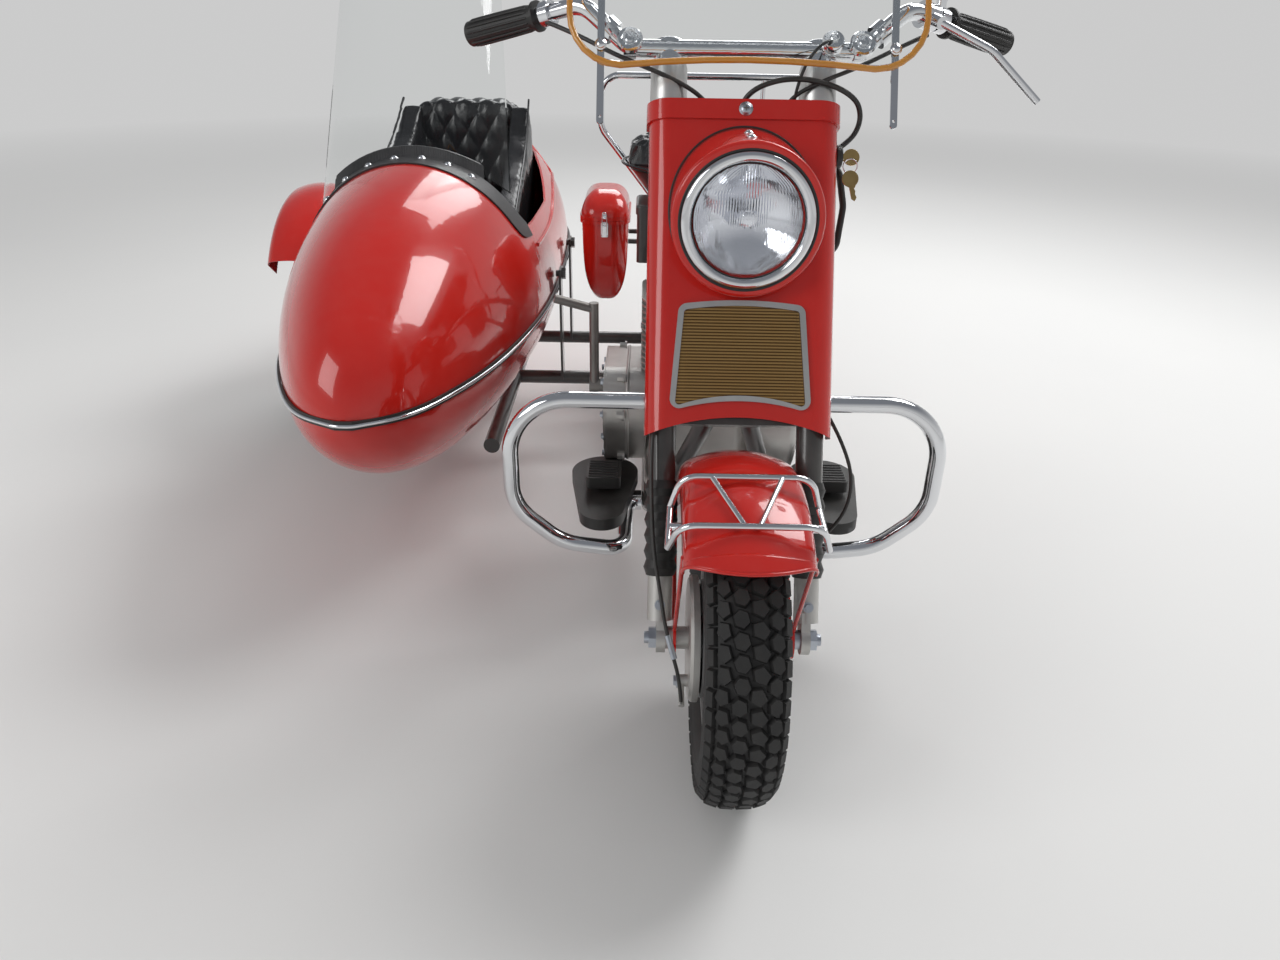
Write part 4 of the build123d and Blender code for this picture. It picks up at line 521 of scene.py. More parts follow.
satin_alloy = finish(
    "satin_alloy", (0.66, 0.66, 0.65), (0.52, 0.52, 0.51), 0.36, metallic=0.9, cloud=24.0,
    grain_size=1700.0, depth=0.00003, dusty=0.06,
)
plate_enamel = finish(
    "plate_enamel", (0.6, 0.6, 0.56), (0.5, 0.5, 0.47), 0.35, coat=0.3, cloud=10.0,
    grain_size=900.0, depth=0.00002, dusty=0.12,
)
porcelain = finish(
    "porcelain", (0.78, 0.77, 0.74), (0.68, 0.67, 0.64), 0.18, coat=0.6, cloud=40.0,
    grain_size=900.0, depth=0.00001, dusty=0.05,
)
reflector = finish(
    "reflector", (0.92, 0.93, 0.95), (0.86, 0.87, 0.9), 0.06, metallic=1.0, cloud=14.0,
    spread=0.04, dusty=0.0,
)
red_lens = finish(
    "red_lens", (0.42, 0.006, 0.008), (0.3, 0.004, 0.006), 0.12, coat=1.0, cloud=30.0,
    grain_size=300.0, cells=1.0, depth=0.0003, dusty=0.03,
)
clear_sheet = glass("clear_sheet", (0.96, 0.975, 0.97), 0.02, 1.3)
lamp_glass = glass("lamp_glass", (0.97, 0.98, 1.0), 0.015, 1.46)

node_finishes = {
    red_enamel: (
        "nacelle", "front_fender", "fuel_tank", "rear_fender", "saddlebags", "bag_lid_left",
        "bag_lid_right", "sidecar_cowl", "sidecar_tub", "sidecar_fender",
    ),
    black_enamel: (
        "battery_box", "chain_case", "cradle", "fork_tubes", "main_frame", "rear_frame",
        "saddle_pan", "sidecar_frame", "tail_lamp",
    ),
    chrome: (
        "brake_lever", "crash_bar", "fender_guard", "handlebar", "headlamp_rim",
        "mirrors", "seat_rail", "windshield_clamps", "bag_latches",
    ),
    cast_alloy: ("brake_plate", "engine_case", "fork_sliders"),
    barrel_alloy: ("engine_cylinder",),
    dull_steel: ("kick_starter", "exhaust"),
    zinc_plate: ("front_axle", "rear_axle"),
    satin_alloy: ("badge_frame",),
    silver_paint: ("front_wheel", "rear_wheel", "sidecar_wheel"),
    tyre_rubber: ("front_tyre", "rear_tyre", "sidecar_tyre"),
    moulded_rubber: ("footboards", "fork_gaiters", "grips", "sidecar_belt"),
    cable_black: ("lamp_cable",),
    leather: ("saddle", "sidecar_cushion", "sidecar_seat_back"),
    band_vinyl: ("sidecar_band",),
    gold_panel: ("badge_panel",),
    floor_mat: ("sidecar_floor",),
    clear_sheet: ("windshield", "sidecar_windscreen"),
    lamp_glass: ("headlamp_lens",),
}
for material, names in node_finishes.items():
    for name in names:
        slots = nodes[name].data.materials
        if len(slots) == 0:
            slots.append(material)
        for index in range(len(slots)):
            slots[index] = material

# Geometry Nodes that repeat small shapes


def tree_input(tree, label):
    """Identifier of a tree's input, by its name."""
    for item in tree.interface.items_tree:
        if item.item_type == "SOCKET" and item.in_out == "INPUT" and item.name == label:
            return item.identifier
    raise KeyError(label)


def geometry_tree(name, kinds):
    """Geometry Nodes tree with named inputs, each given with its kind of socket."""
    inputs = [("Geometry", "NodeSocketGeometry", None)]
    inputs += [(label, "NodeSocket" + kind, None) for label, kind in kinds.items()]
    tree, given, out = new_tree(name, "GeometryNodeTree", inputs, [("Geometry", "NodeSocketGeometry")])
    return tree, given.outputs, out


def geometry_of(tree, *parts):
    """Geometries joined into one."""
    both = wire(tree, "GeometryNodeJoinGeometry")
    for part in parts:
        tree.links.new(part, both.inputs[0])
    return both.outputs[0]


def named_value(tree, label, kind):
    """Value that each point carries under a label."""
    return wire(tree, "GeometryNodeInputNamedAttribute", {"data_type": kind}, {"Name": label}).outputs[0]


def aligned(tree, options, **inputs):
    """Rotation that turns an axis to a vector."""
    return wire(tree, "FunctionNodeAlignRotationToVector", options, inputs).outputs[0]


def spread_over(tree, out, points, shape, material, kept=None, **placing):
    """Ends a tree: a shape on every point, with the geometry that is kept, all in one material."""
    inputs = {"Points": points, "Instance": shape, **placing}
    made = wire(tree, "GeometryNodeInstanceOnPoints", (), inputs).outputs[0]
    if kept is not None:
        made = geometry_of(tree, made, kept)
    real = wire(tree, "GeometryNodeRealizeInstances", (), {0: made}).outputs[0]
    painted = {"Geometry": real, "Material": material}
    tree.links.new(wire(tree, "GeometryNodeSetMaterial", (), painted).outputs[0], out.inputs[0])


def tread_tree():
    """Adds one row of tread blocks round a wheel that turns about X."""
    kinds = {"Count": "Int", "Sides": "Int", "Centre": "Vector", "Material": "Material"}
    for label in ("Radius", "Offset", "Length", "Width", "Height", "Lean", "Phase", "Turn", "Unevenness"):
        kinds[label] = "Float"
    tree, source, out = geometry_tree("tread_row", kinds)

    def times(first, second):
        """Product of two outputs."""
        return sum_of(tree, "MULTIPLY", first, second)

    number = wire(tree, "GeometryNodeInputIndex").outputs[0]
    whole = sum_of(tree, "DIVIDE", 2 * math.pi, source["Count"])
    angle = sum_of(tree, "ADD", times(number, whole), source["Phase"])
    sine = sum_of(tree, "SINE", angle)
    cosine = sum_of(tree, "COSINE", angle)
    draw = {2: -1.0, 3: 1.0, "Seed": 7}
    wobble = wire(tree, "FunctionNodeRandomValue", {"data_type": "FLOAT"}, draw).outputs[1]
    uneven = times(wobble, source["Unevenness"])
    side = sum_of(tree, "ADD", source["Offset"], times(uneven, 0.012))
    round_place = vector_of(tree, side, times(sine, source["Radius"]), times(cosine, source["Radius"]))
    both = {0: round_place, 1: source["Centre"]}
    place = wire(tree, "ShaderNodeVectorMath", {"operation": "ADD"}, both).outputs[0]
    row = wire(tree, "GeometryNodePoints", (), {"Count": source["Count"], "Position": place}).outputs[0]
    lean_side = sum_of(tree, "SINE", source["Lean"])
    lean_out = sum_of(tree, "COSINE", source["Lean"])
    outward = vector_of(tree, lean_side, times(sine, lean_out), times(cosine, lean_out))
    onward = vector_of(tree, 0.0, cosine, times(sine, -1.0))
    stood = aligned(tree, {"axis": "Z"}, Vector=outward)
    faced = aligned(tree, {"axis": "Y", "pivot_axis": "Z"}, Rotation=stood, Vector=onward)
    spin = vector_of(tree, 0.0, 0.0, sum_of(tree, "ADD", source["Turn"], uneven))
    pair = {0: faced, 1: wire(tree, "FunctionNodeEulerToRotation", (), {0: spin}).outputs[0]}
    rotation = wire(tree, "FunctionNodeRotateRotation", {"rotation_space": "LOCAL"}, pair).outputs[0]
    measures = {
        "Vertices": source["Sides"], "Side Segments": 1, "Fill Segments": 1,
        "Radius Top": 0.88, "Radius Bottom": 1.06, "Depth": 1.0,
    }
    stump = wire(tree, "GeometryNodeMeshCone", {"fill_type": "NGON"}, measures).outputs[0]
    half_side = vector_of(tree, 0.0, 0.0, sum_of(tree, "DIVIDE", math.pi, source["Sides"]))
    squared = wire(tree, "GeometryNodeTransform", (), {"Geometry": stump, "Rotation": half_side}).outputs[0]
    size = vector_of(tree, source["Width"], source["Length"], source["Height"])
    shaped = wire(tree, "GeometryNodeTransform", (), {"Geometry": squared, "Scale": size}).outputs[0]
    spread_over(tree, out, row, shaped, source["Material"], kept=source["Geometry"], Rotation=rotation)
    return tree


def head_tree(name, dome):
    """Sets a small dome or hexagon on every point of the mesh, turned to the point's "way"."""
    kinds = {"Radius": "Float", "Height": "Float", "Material": "Material"}
    tree, source, out = geometry_tree(name, kinds)
    rotation = aligned(tree, {"axis": "Z"}, Vector=named_value(tree, "way", "FLOAT_VECTOR"))
    if dome:
        measures = {"Segments": 16, "Rings": 10, "Radius": 1.0}
        top = wire(tree, "GeometryNodeMeshUVSphere", (), measures).outputs[0]
    else:
        measures = {"Vertices": 6, "Radius Top": 0.94, "Radius Bottom": 1.0, "Depth": 1.0}
        top = wire(tree, "GeometryNodeMeshCone", {"fill_type": "NGON"}, measures).outputs[0]
    measures = {"Vertices": 20, "Radius": 1.25 if dome else 1.3, "Depth": 0.3}
    seat = wire(tree, "GeometryNodeMeshCylinder", {"fill_type": "NGON"}, measures).outputs[0]
    shading = {"Geometry": geometry_of(tree, top, seat), "Shade Smooth": dome}
    soft = wire(tree, "GeometryNodeSetShadeSmooth", (), shading).outputs[0]
    size = vector_of(tree, source["Radius"], source["Radius"], source["Height"])
    spread_over(tree, out, source["Geometry"], soft, source["Material"], Rotation=rotation, Scale=size)
    return tree


def rib_tree():
    """Lays one rounded rib on every point of the mesh, as long as the point's "span"."""
    kinds = {"Width": "Float", "Height": "Float", "Material": "Material"}
    tree, source, out = geometry_tree("ribs", kinds)
    measures = {"Vertices": 8, "Radius": 0.5, "Depth": 1.0}
    bar = wire(tree, "GeometryNodeMeshCylinder", {"fill_type": "NGON"}, measures).outputs[0]
    laying = {"Geometry": bar, "Rotation": (0, math.pi / 2, 0)}
    laid = wire(tree, "GeometryNodeTransform", (), laying).outputs[0]
    size = vector_of(tree, named_value(tree, "span", "FLOAT"), source["Width"], source["Height"])
    spread_over(tree, out, source["Geometry"], laid, source["Material"], Scale=size)
    return tree


tread_row = tread_tree()
dome_heads = head_tree("dome_heads", True)
hex_heads = head_tree("hex_heads", False)
rib_rows = rib_tree()


def grown(piece, tree, **values):
    """Runs a tree on a piece, with its named inputs set, and keeps the result as a plain mesh."""
    step = piece.modifiers.new(tree.name, "NODES")
    step.node_group = tree
    for label, value in values.items():
        step[tree_input(tree, label)] = value
    return applied(piece)


def scattered(name, tree, places, carried, material, **sizes):
    """Runs a tree on points that each carry a value, with the tree's sizes in millimetres."""
    label, kind, field = carried
    mesh = bpy.data.meshes.new(name)
    mesh.from_pydata([tuple(place) for place, value in places], [], [])
    values = mesh.attributes.new(label, kind, "POINT")
    for item, (place, value) in zip(values.data, places):
        setattr(item, field, value)
    mesh.materials.append(material)
    piece = link(bpy.data.objects.new(name, mesh))
    sizes = {size: value / 1000 for size, value in sizes.items()}
    return grown(piece, tree, Material=material, **sizes)


def heads(name, tree, places, radius, height, material):
    """Small heads on a list of places and outward ways, as one piece. Sizes are in millimetres."""
    places = [(place, way.normalized()) for place, way in places]
    carried = ("way", "FLOAT_VECTOR", "vector")
    return scattered(name, tree, places, carried, material, Radius=radius, Height=height)


def ribs(name, rows, width, height, material):
    """Parallel ribs across the part: rows give a place and a length in millimetres."""
    places = [(place, length / 1000) for place, length in rows]
    return scattered(name, rib_rows, places, ("span", "FLOAT", "value"), material, Width=width, Height=height)


# Tyres with their tread blocks and ribbed walls
tread_rows = (
    # offset, radius, sides, length, width, height, lean, phase, turn and unevenness. Sizes are in
    # millimetres, the lean and the turn in radians, and the phase is a share of the pitch
    (-10.0, 208.8, 6, 12.0, 10.6, 7.0, -0.06, 0.0, 0.25, 0.14),
    (10.6, 208.8, 5, 12.6, 10.8, 7.0, 0.06, 0.5, 0.6, 0.14),
    (-28.4, 205.4, 5, 12.2, 9.4, 7.0, -0.32, 0.45, 0.2, 0.1),
    (28.4, 205.4, 6, 12.2, 9.4, 7.0, 0.32, 0.95, 0.1, 0.1),
    (-40.6, 197.4, 4, 14.6, 8.6, 6.0, -0.85, 0.2, 0.0, 0.02),
    (40.6, 197.4, 4, 14.6, 8.6, 6.0, 0.85, 0.7, 0.0, 0.02),
)
tread_count = 54


def tyre_profile():
    """Section of the tyre between its beads, below its tread blocks: side and radius."""
    crown = [(0, 209.5), (14, 209.0), (26, 207.2), (34, 204.0), (40, 199.5)]
    wall = [(45, 191.0), (47.4, 181.0)]
    for start in (176.5, 170.0, 163.5):
        wall += [(48.0, start), (48.4, start - 1.2), (48.4, start - 2.4), (47.6, start - 3.4)]
    foot = [(45.6, 155.0), (41.5, 147.0), (36.5, 142.5), (34.0, 140.0), (30.8, 139.2), (30.8, 127.6)]
    half = crown + wall + foot
    return [(-side, radius) for side, radius in reversed(half)] + half[1:]


for wheel, (body, centre) in wheels.items():
    middle = spot(*centre)
    outline = [(radius, side) for side, radius in tyre_profile()]
    outline.append(outline[0])
    tyre = turned(wheel + "_tyre_treaded", middle, across, upward, outline, tyre_rubber, steps=120, sharp=2.0)
    for offset, radius, sides, length, width, height, lean, phase, turn, uneven in tread_rows:
        grown(
            tyre, tread_row, Count=tread_count, Radius=radius / 1000, Offset=offset / 1000, Sides=sides,
            Length=length / 1000, Width=width / 1000, Height=height / 1000, Lean=lean,
            Phase=phase * 2 * math.pi / tread_count, Turn=turn, Unevenness=uneven, Centre=middle,
            Material=tyre_rubber,
        )
    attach(tyre, body)
    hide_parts(wheel + "_tyre")

# Headlamp: reflector, fluted lens and gaskets
lamp_centre = spot(0, 0, pod_height)
rearward = Vector((0, 1, 0))
bowl_radius = 67.5
bowl_front = 161.2
bowl_depth = 34.6
bowl_steps = 14
bowl = []
for step in range(bowl_steps + 1):
    share = 1 - step / bowl_steps
    bowl.append((bowl_radius * share, bowl_front + bowl_depth * (1 - share**2)))
bowl.append((0, 194.4))
for step in range(bowl_steps):
    share = (step + 1) / bowl_steps
    bowl.append(((bowl_radius - 0.9) * share, bowl_front - 1.2 + (bowl_depth - 0.2) * (1 - share**2)))
bowl.append(bowl[0])
lamp_bowl = turned("lamp_reflector", lamp_centre, rearward, across, bowl, reflector)
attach(lamp_bowl, "steering")
bulb_shield = turned(
    "bulb_shield", lamp_centre, rearward, across,
    [(0, 166), (5, 166.5), (9, 168.5), (10, 172), (9.4, 172), (8.4, 169.5), (4.6, 167.6), (0, 167)],
    reflector, steps=48,
)
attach(bulb_shield, "steering")

lens_columns = 220
lens_rows = 44
lens_edge = lens_radius - 0.4
lens_rim = 154.2
lens_thickness = 3.2
top_bar = 38
upper_bar = 14
lower_bar = -8
foot_bar = -34


def lens_flutes(side, rise):
    """Depth in millimetres of the lens's moulded pattern at a place on its back."""
    far = math.hypot(side, rise)
    if far > lens_edge - 3:
        return 0.0
    if far < 5.5:
        return 0.5
    if min(abs(rise - level) for level in (top_bar, upper_bar, lower_bar, foot_bar)) < 0.8:
        return 0.7
    if lower_bar < rise < upper_bar and 24 < abs(side) < 48:
        return 0.05
    if foot_bar < rise < lower_bar and abs(side) < 50:
        return 0.14 * math.cos(2 * math.pi * side / 8.0)
    pitch = 3.4 if rise > upper_bar else 2.6
    return 0.34 * math.cos(2 * math.pi * side / pitch)


lens_points = []
cap_sag = 9.6
cap_radius = (lens_edge**2 + cap_sag**2) / (2 * cap_sag)
for layer in (0, 1):
    for row in range(lens_rows + 1):
        rise = lens_edge * math.sin(math.pi / 2 * (2 * row / lens_rows - 1))
        half_chord = math.sqrt(max(0.0, lens_edge**2 - rise**2))
        for column in range(lens_columns + 1):
            side = half_chord * (2 * column / lens_columns - 1)
            far = min(lens_edge, math.hypot(side, rise))
            crown = math.sqrt(cap_radius**2 - far**2) - (cap_radius - cap_sag)
            reach = lens_rim - crown
            if layer:
                reach += lens_thickness + lens_flutes(side, rise)
            lens_points.append(lamp_centre + Vector((side, reach, rise)) / 1000)
fluted_lens = mesh_piece("fluted_lens", lens_points, double_grid(lens_rows, lens_columns), lamp_glass)
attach(fluted_lens, "steering")
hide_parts("headlamp_lens")


def ring(name, origin, axis, side, radius, thickness, material, body, steps=96):
    """Round gasket or bead that moves with a body: radius and thickness in millimetres."""
    profile = []
    for angle in round_angles(12):
        profile.append((radius + thickness * math.cos(angle), thickness * math.sin(angle)))
    profile.append(profile[0])
    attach(turned(name, origin, axis, side, profile, material, steps=steps, sharp=3.0), body)


def nearest(node, guess):
    """Place on a node's surface that is closest to a guess."""
    return node.closest_point_on_mesh(guess)[1]


def place_all(body, *placed):
    """Lets pieces move with a body."""
    for piece in placed:
        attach(piece, body)


def sleeve_profile(inner, outer, half_length):
    """Section of a plain sleeve, for turning."""
    corners = ((inner, -1), (outer, -1), (outer, 1), (inner, 1), (inner, -1))
    return [(radius, way * half_length) for radius, way in corners]


ring("rim_gasket", spot(0, 151.5, pod_height), rearward, across, 85.2, 2.0, moulded_rubber, "steering")
ring("lens_gasket", spot(0, 152.0, pod_height), rearward, across, 70.6, 1.3, moulded_rubber, "steering")

pod_joint = []
for angle in round_angles(72):
    side = (pod_radius + 0.6) * math.cos(angle)
    height = pod_height + (pod_radius + 0.6) * math.sin(angle)
    reach = (nacelle_front + (height - wheel_radius) * math.sin(rake)) / math.cos(rake)
    pod_joint.append(spot(side, reach, height))
pod_gasket = tube("pod_gasket", pod_joint, 3.4, moulded_rubber, closed=True)
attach(pod_gasket, "steering")

pod_top_places = []
for reach in (178.0, 214.0):
    pod_top_places.append((spot(0, reach, pod_height + pod_radius + 0.3), upward))
pod_domes = heads("pod_domes", dome_heads, pod_top_places, 5.5, 3.4, chrome)
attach(pod_domes, "steering")

# Cross-head screw in the middle of the nacelle's top band
screw_place = fork_spot(0, nacelle_front - 3.5, 687.5)
screw_head = heads("band_screw", dome_heads, [(screw_place, -fork_back)], 7.2, 3.6, zinc_plate)
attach(screw_head, "steering")
for turn, (wide, tall) in enumerate(((across, fork_up), (fork_up, across))):
    cut = plate(
        "screw_cross_" + str(turn + 1),
        oblong(screw_place - fork_back * 0.0029, wide, tall, 3.6, 0.8, 0.6),
        -fork_back, 0.0010, dull_steel, bevel=0.0002,
    )
    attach(cut, "steering")

# Caps' black rings at the nacelle's top
for way, label in both_sides:
    ring(
        "cap_ring_" + label, fork_spot(way * leg_side, 0, 702.0), fork_up, across, 22.5, 2.6,
        moulded_rubber, "steering", steps=48,
    )

# Windshield's amber edge trim, and the nuts that hold its straps
shield_half_width = 226
shield_low = 735
shield_high = 1190
low_corner = 65
high_corner = 110
trim_back = shield_back - 1.5
shield_edge = []
shield_corners = (
    # way across, height, way up, radius, and the degrees at which the corner starts
    (1, shield_low, -1, low_corner, -90),
    (1, shield_high, 1, high_corner, 0),
    (-1, shield_high, 1, high_corner, 90),
    (-1, shield_low, -1, low_corner, 180),
)
for way_side, height, way_up, corner, start in shield_corners:
    for step in range(7):
        angle = math.radians(start + 90 * step / 6)
        side = way_side * (shield_half_width - corner) + corner * math.cos(angle)
        up = height - way_up * corner + corner * math.sin(angle)
        shield_edge.append(fork_spot(side, trim_back, up))
for step in range(1, 6):
    share = step / 3 - 1
    side = (shield_half_width - low_corner) * share
    shield_edge.append(fork_spot(side, trim_back, shield_low + 9 * (1 - share**2)))
shield_trim = tube("windshield_trim", shield_edge, 8.0, amber_trim, closed=True, round_off=False, sides=5)
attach(shield_trim, "steering")

strap_places = []
for way in (-1, 1):
    for level in (760, 838, 930):
        strap_places.append((fork_spot(way * 186, shield_back - 3.4, level), -fork_back))
strap_nuts = heads("strap_nuts", dome_heads, strap_places, 6.0, 4.0, chrome)
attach(strap_nuts, "steering")

# Black band of the sidecar's screen: its snaps, and the ribbed upstand that the screen stands in
snap_places = []
for angle in (62.5, 73.5, 85.0, 97.0, 109.0, 121.0, 133.0):
    lean = math.radians(angle)
    guess = spot(sidecar_side + 252 * math.cos(lean), 842, belt_height + 300 * math.sin(lean))
    outward = Vector((math.cos(lean), -0.12, math.sin(lean)))
    snap_places.append((nearest(nodes["sidecar_band"], guess), outward))
band_snaps = heads("band_snaps", dome_heads, snap_places, 7.0, 4.6, chrome)
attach(band_snaps, "chassis")

cowl_node = nodes["sidecar_cowl"]
upstand_points = []
upstand_faces = []
upstand_steps = 420
upstand_half_angle = 62
upstand_foot = -3
upstand_height = 24
for step in range(upstand_steps + 1):
    turn = math.radians(upstand_half_angle * (2 * step / upstand_steps - 1))
    wave = 0.5 * math.cos(step * math.pi / 1.5)
    for grow in (3.6 + wave, 0.6):
        guess_radius = screen_radius - 8 + grow
        above = spot(
            screen_side + guess_radius * math.sin(turn),
            screen_centre - guess_radius * math.cos(turn) + 40,
            900,
        )
        hit, place = cowl_node.ray_cast(above, -upward)[:2]
        base = (place.z - ground_point.z) * 1000 if hit else screen_base
        for extra in (upstand_foot, upstand_height):
            rise = base + extra - screen_base
            radius = screen_radius - rise * screen_narrowing + grow
            reach = screen_centre - radius * math.cos(turn) + rise * screen_lean
            upstand_points.append(spot(screen_side + radius * math.sin(turn), reach, base + extra))
for step in range(upstand_steps):
    first = step * 4
    second = first + 4
    for one, two in ((0, 1), (1, 3), (3, 2), (2, 0)):
        upstand_faces.append((first + one, first + two, second + two, second + one))
band_upstand = mesh_piece("screen_upstand", upstand_points, upstand_faces, band_vinyl, smooth=False)
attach(band_upstand, "chassis")

# Front fender: its edge curves forward in the middle and ends in a rolled bead
fender_base = 215.0
fender_edge_angle = 58.0
fender_crown = 146.1
fender_rise = 38
fender_join = 61.3
fender_roll = 27.0
fender_roll_side = 50.0


def fender_level(side):
    """Radius of the front fender's outer face at a distance from its middle."""
    side = abs(side)
    if side < fender_join:
        return fender_base + fender_rise - fender_crown + math.sqrt(fender_crown**2 - side**2)
    return fender_base + math.sqrt(max(0.0, fender_roll**2 - (side - fender_roll_side) ** 2))


def fender_place(side, radius, angle):
    """Point round the front axle, its angle in degrees up from straight ahead."""
    lean = math.radians(angle)
    return front_axle + Vector((side, -math.cos(lean) * radius, math.sin(lean) * radius)) / 1000


lip_half_width = 76.9
lip_columns = 60
lip_rows = 6
lip_lap = 1.2
lip_sides = [lip_half_width * (2 * column / lip_columns - 1) for column in range(lip_columns + 1)]


def lip_stretch(side):
    """Degrees by which the fender's edge lies forward of its corners."""
    return 4.6 * (1 - (side / lip_half_width) ** 2)


lip_points = []
for sink in (-0.3, 1.6):
    for side in lip_sides:
        for row in range(lip_rows + 1):
            angle = fender_edge_angle + lip_lap - (lip_stretch(side) + lip_lap) * row / lip_rows
            lip_points.append(fender_place(side, fender_level(side) - sink, angle))
fender_lip = mesh_piece("fender_lip", lip_points, double_grid(lip_columns, lip_rows), red_enamel)
bead_points = [
    fender_place(side, fender_level(side) - 1.2, fender_edge_angle - lip_stretch(side)) for side in lip_sides
]
bead_points.insert(0, fender_place(-76.2, 210.0, fender_edge_angle))
bead_points.append(fender_place(76.2, 210.0, fender_edge_angle))
fender_bead = tube("fender_bead", bead_points, 4.4, red_enamel, round_off=False)
place_all("steering", fender_lip, fender_bead)

# Alloy sleeves of the fork caps, and the switch on the handlebar
for way, label in both_sides:
    sleeve = turned(
        "cap_sleeve_" + label, fork_spot(way * leg_side, 0, 0), fork_up, across,
        [(21.6, 706), (23.4, 706), (24.2, 708), (24.2, 752), (23.0, 757), (21.6, 758), (21.6, 706)],
        satin_alloy, steps=64,
    )
    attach(sleeve, "steering")
switch_place = spot(112, 335, 914)
switch_way = Vector((0, -0.75, 0.66)).normalized()
switch_body = turned(
    "bar_switch", switch_place, switch_way, across,
    [(0, 10.9), (13, 10.9), (14.5, 12), (14.5, 21), (12.5, 24), (6.4, 24.6), (6, 27.5), (4.8, 28.6), (0, 29)],
    chrome, steps=48,
)
switch_band = turned(
    "switch_band", switch_place, across, upward, sleeve_profile(11.1, 12.6, 5), chrome, steps=48
)
place_all("steering", switch_body, switch_band)

# Cables: control cables from the bar into the nacelle, and the brake cable down to its plate
cable_routes = (
    # name, thickness, points across, to the rear and up
    ("clutch_cable", 5.6, (
        (232, 322, 936), (205, 312, 926), (150, 304, 900), (96, 300, 880), (62, 302, 862), (52, 304, 840),
        (50, 306, 822),
    )),
    ("throttle_cable", 6.0, (
        (-262, 372, 942), (-222, 346, 930), (-168, 322, 906), (-112, 308, 888), (-66, 303, 868),
        (-42, 304, 846), (-38, 306, 822),
    )),
    ("switch_wire", 4.2, (
        (112, 319, 926), (104, 306, 930), (84, 298, 916), (70, 298, 888), (64, 303, 850), (62, 306, 822),
    )),
    ("loop_cable", 7.0, (
        (-8, 306, 822), (-6, 300, 850), (14, 296, 874), (60, 296, 886), (112, 300, 878), (148, 312, 860),
        (158, 316, 838), (152, 308, 818), (138, 298, 806), (127, 294, 799),
    )),
)
for name, thickness, points in cable_routes:
    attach(tube(name, [spot(*point) for point in points], thickness, cable_black), "steering")
brake_route = (
    (-110, -20, 292), (-113, -27, 250), (-112, -30, 190), (-108, -32, 120), (-98, -40, 64),
    (-92, -47, 26), (-82, -50, -10), (-72, -48, -44), (-69, -46, -74),
)
brake_cable = tube("brake_cable", [fork_spot(*point) for point in brake_route], 5.0, cable_black)
brake_ferrule = tube(
    "brake_ferrule", [fork_spot(-88, -48, 12), fork_spot(-79, -50, -18)], 8.0, zinc_plate, round_off=False
)
side_route = (
    (112, 2, 322), (122, -2, 300), (142, -4, 262), (156, -2, 220), (152, 2, 180), (134, 8, 150),
    (116, 14, 132),
)
side_cable = tube("side_cable", [fork_spot(*point) for point in side_route], 5.0, cable_black)
place_all("steering", brake_cable, brake_ferrule, side_cable)

# Ignition lock on the nacelle's left side, with two keys on their ring
lock = turned(
    "ignition_lock", fork_spot(0, 0, 642), across, fork_up,
    [(0, 123.1), (14, 123.1), (15, 124.2), (15, 129), (13.4, 131.5), (5, 132), (4.6, 133.4), (0, 133.6)],
    moulded_rubber, steps=48,
)
ring(
    "key_ring", fork_spot(142.5, -6, 628), Vector((0.3, 0.95, 0)), upward, 9.2, 0.9,
    chrome, "steering", steps=40,
)


def key_blade(name, hub, way, flat, length):
    """Brass key: a round bow with its blade, drawn from the bow's middle along a way."""
    side = way.cross(flat).normalized()
    outline = []
    for step in range(21):
        angle = math.radians(30 + 300 * step / 20)
        outline.append(hub + (way * (11 * math.cos(angle)) + side * (11 * math.sin(angle))) / 1000)
    for along, over in ((11, -3.6), (length, -3.6), (length + 4, 0), (length, 3.6), (length - 5, 2.4),
                        (length - 9, 3.6), (length - 13, 2.2), (13, 3.6)):
        outline.append(hub + (way * along + side * over) / 1000)
    return plate(name, outline, flat, 0.0018, brass, bevel=0.0003)


key_in_lock = key_blade("key_in_lock", fork_spot(145, 0, 642), -across, fork_back, 14)
key_hanging = key_blade(
    "key_hanging", fork_spot(143, -6, 612), (-fork_up * 0.94 + across * 0.2).normalized(), fork_back, 26
)
place_all("steering", lock, key_in_lock, key_hanging)

# Ridges of the grips, and the screen's clamps on the bar
ridge_line = ((-101, 15.0), (-94, 16.2), (-60, 16.9), (-20, 17.3), (-4, 17.2), (1, 15.8))
for way, label in both_sides:
    bar_end_place = spot(way * 370, 442, 924)
    bar_way = (bar_end_place - spot(way * 212, 356, 964)).normalized()
    ridge_side = bar_way.cross(upward).normalized()
    ridge_rise = ridge_side.cross(bar_way)
    ridges = []
    for angle in round_angles(14):
        out = ridge_side * math.cos(angle) + ridge_rise * math.sin(angle)
        line = []
        for along, radius in ridge_line:
            line.append(bar_end_place + bar_way * (along / 1000) + out * ((radius - 0.7) / 1000))
        ridges.append(tube("ridge", line, 3.4, moulded_rubber, round_off=False, sides=2))
    grip_ridges = joined("grip_ridges_" + label, ridges)
    knob = turned(
        "clamp_knob_" + label, spot(way * 150, 324.5, 921), Vector((0, -0.8, 0.6)), across,
        [(0, 1), (15, 1), (17, 2.5), (17, 8), (15, 10.4), (11, 11), (9.5, 9.6), (6, 9.6), (5.6, 13),
         (0, 13.6)],
        chrome, steps=48,
    )
    strap = turned(
        "clamp_strap_" + label, spot(way * 150, 335, 914), across, upward,
        sleeve_profile(11.1, 13.2, 8), chrome, steps=48,
    )
    place_all("steering", grip_ridges, knob, strap)

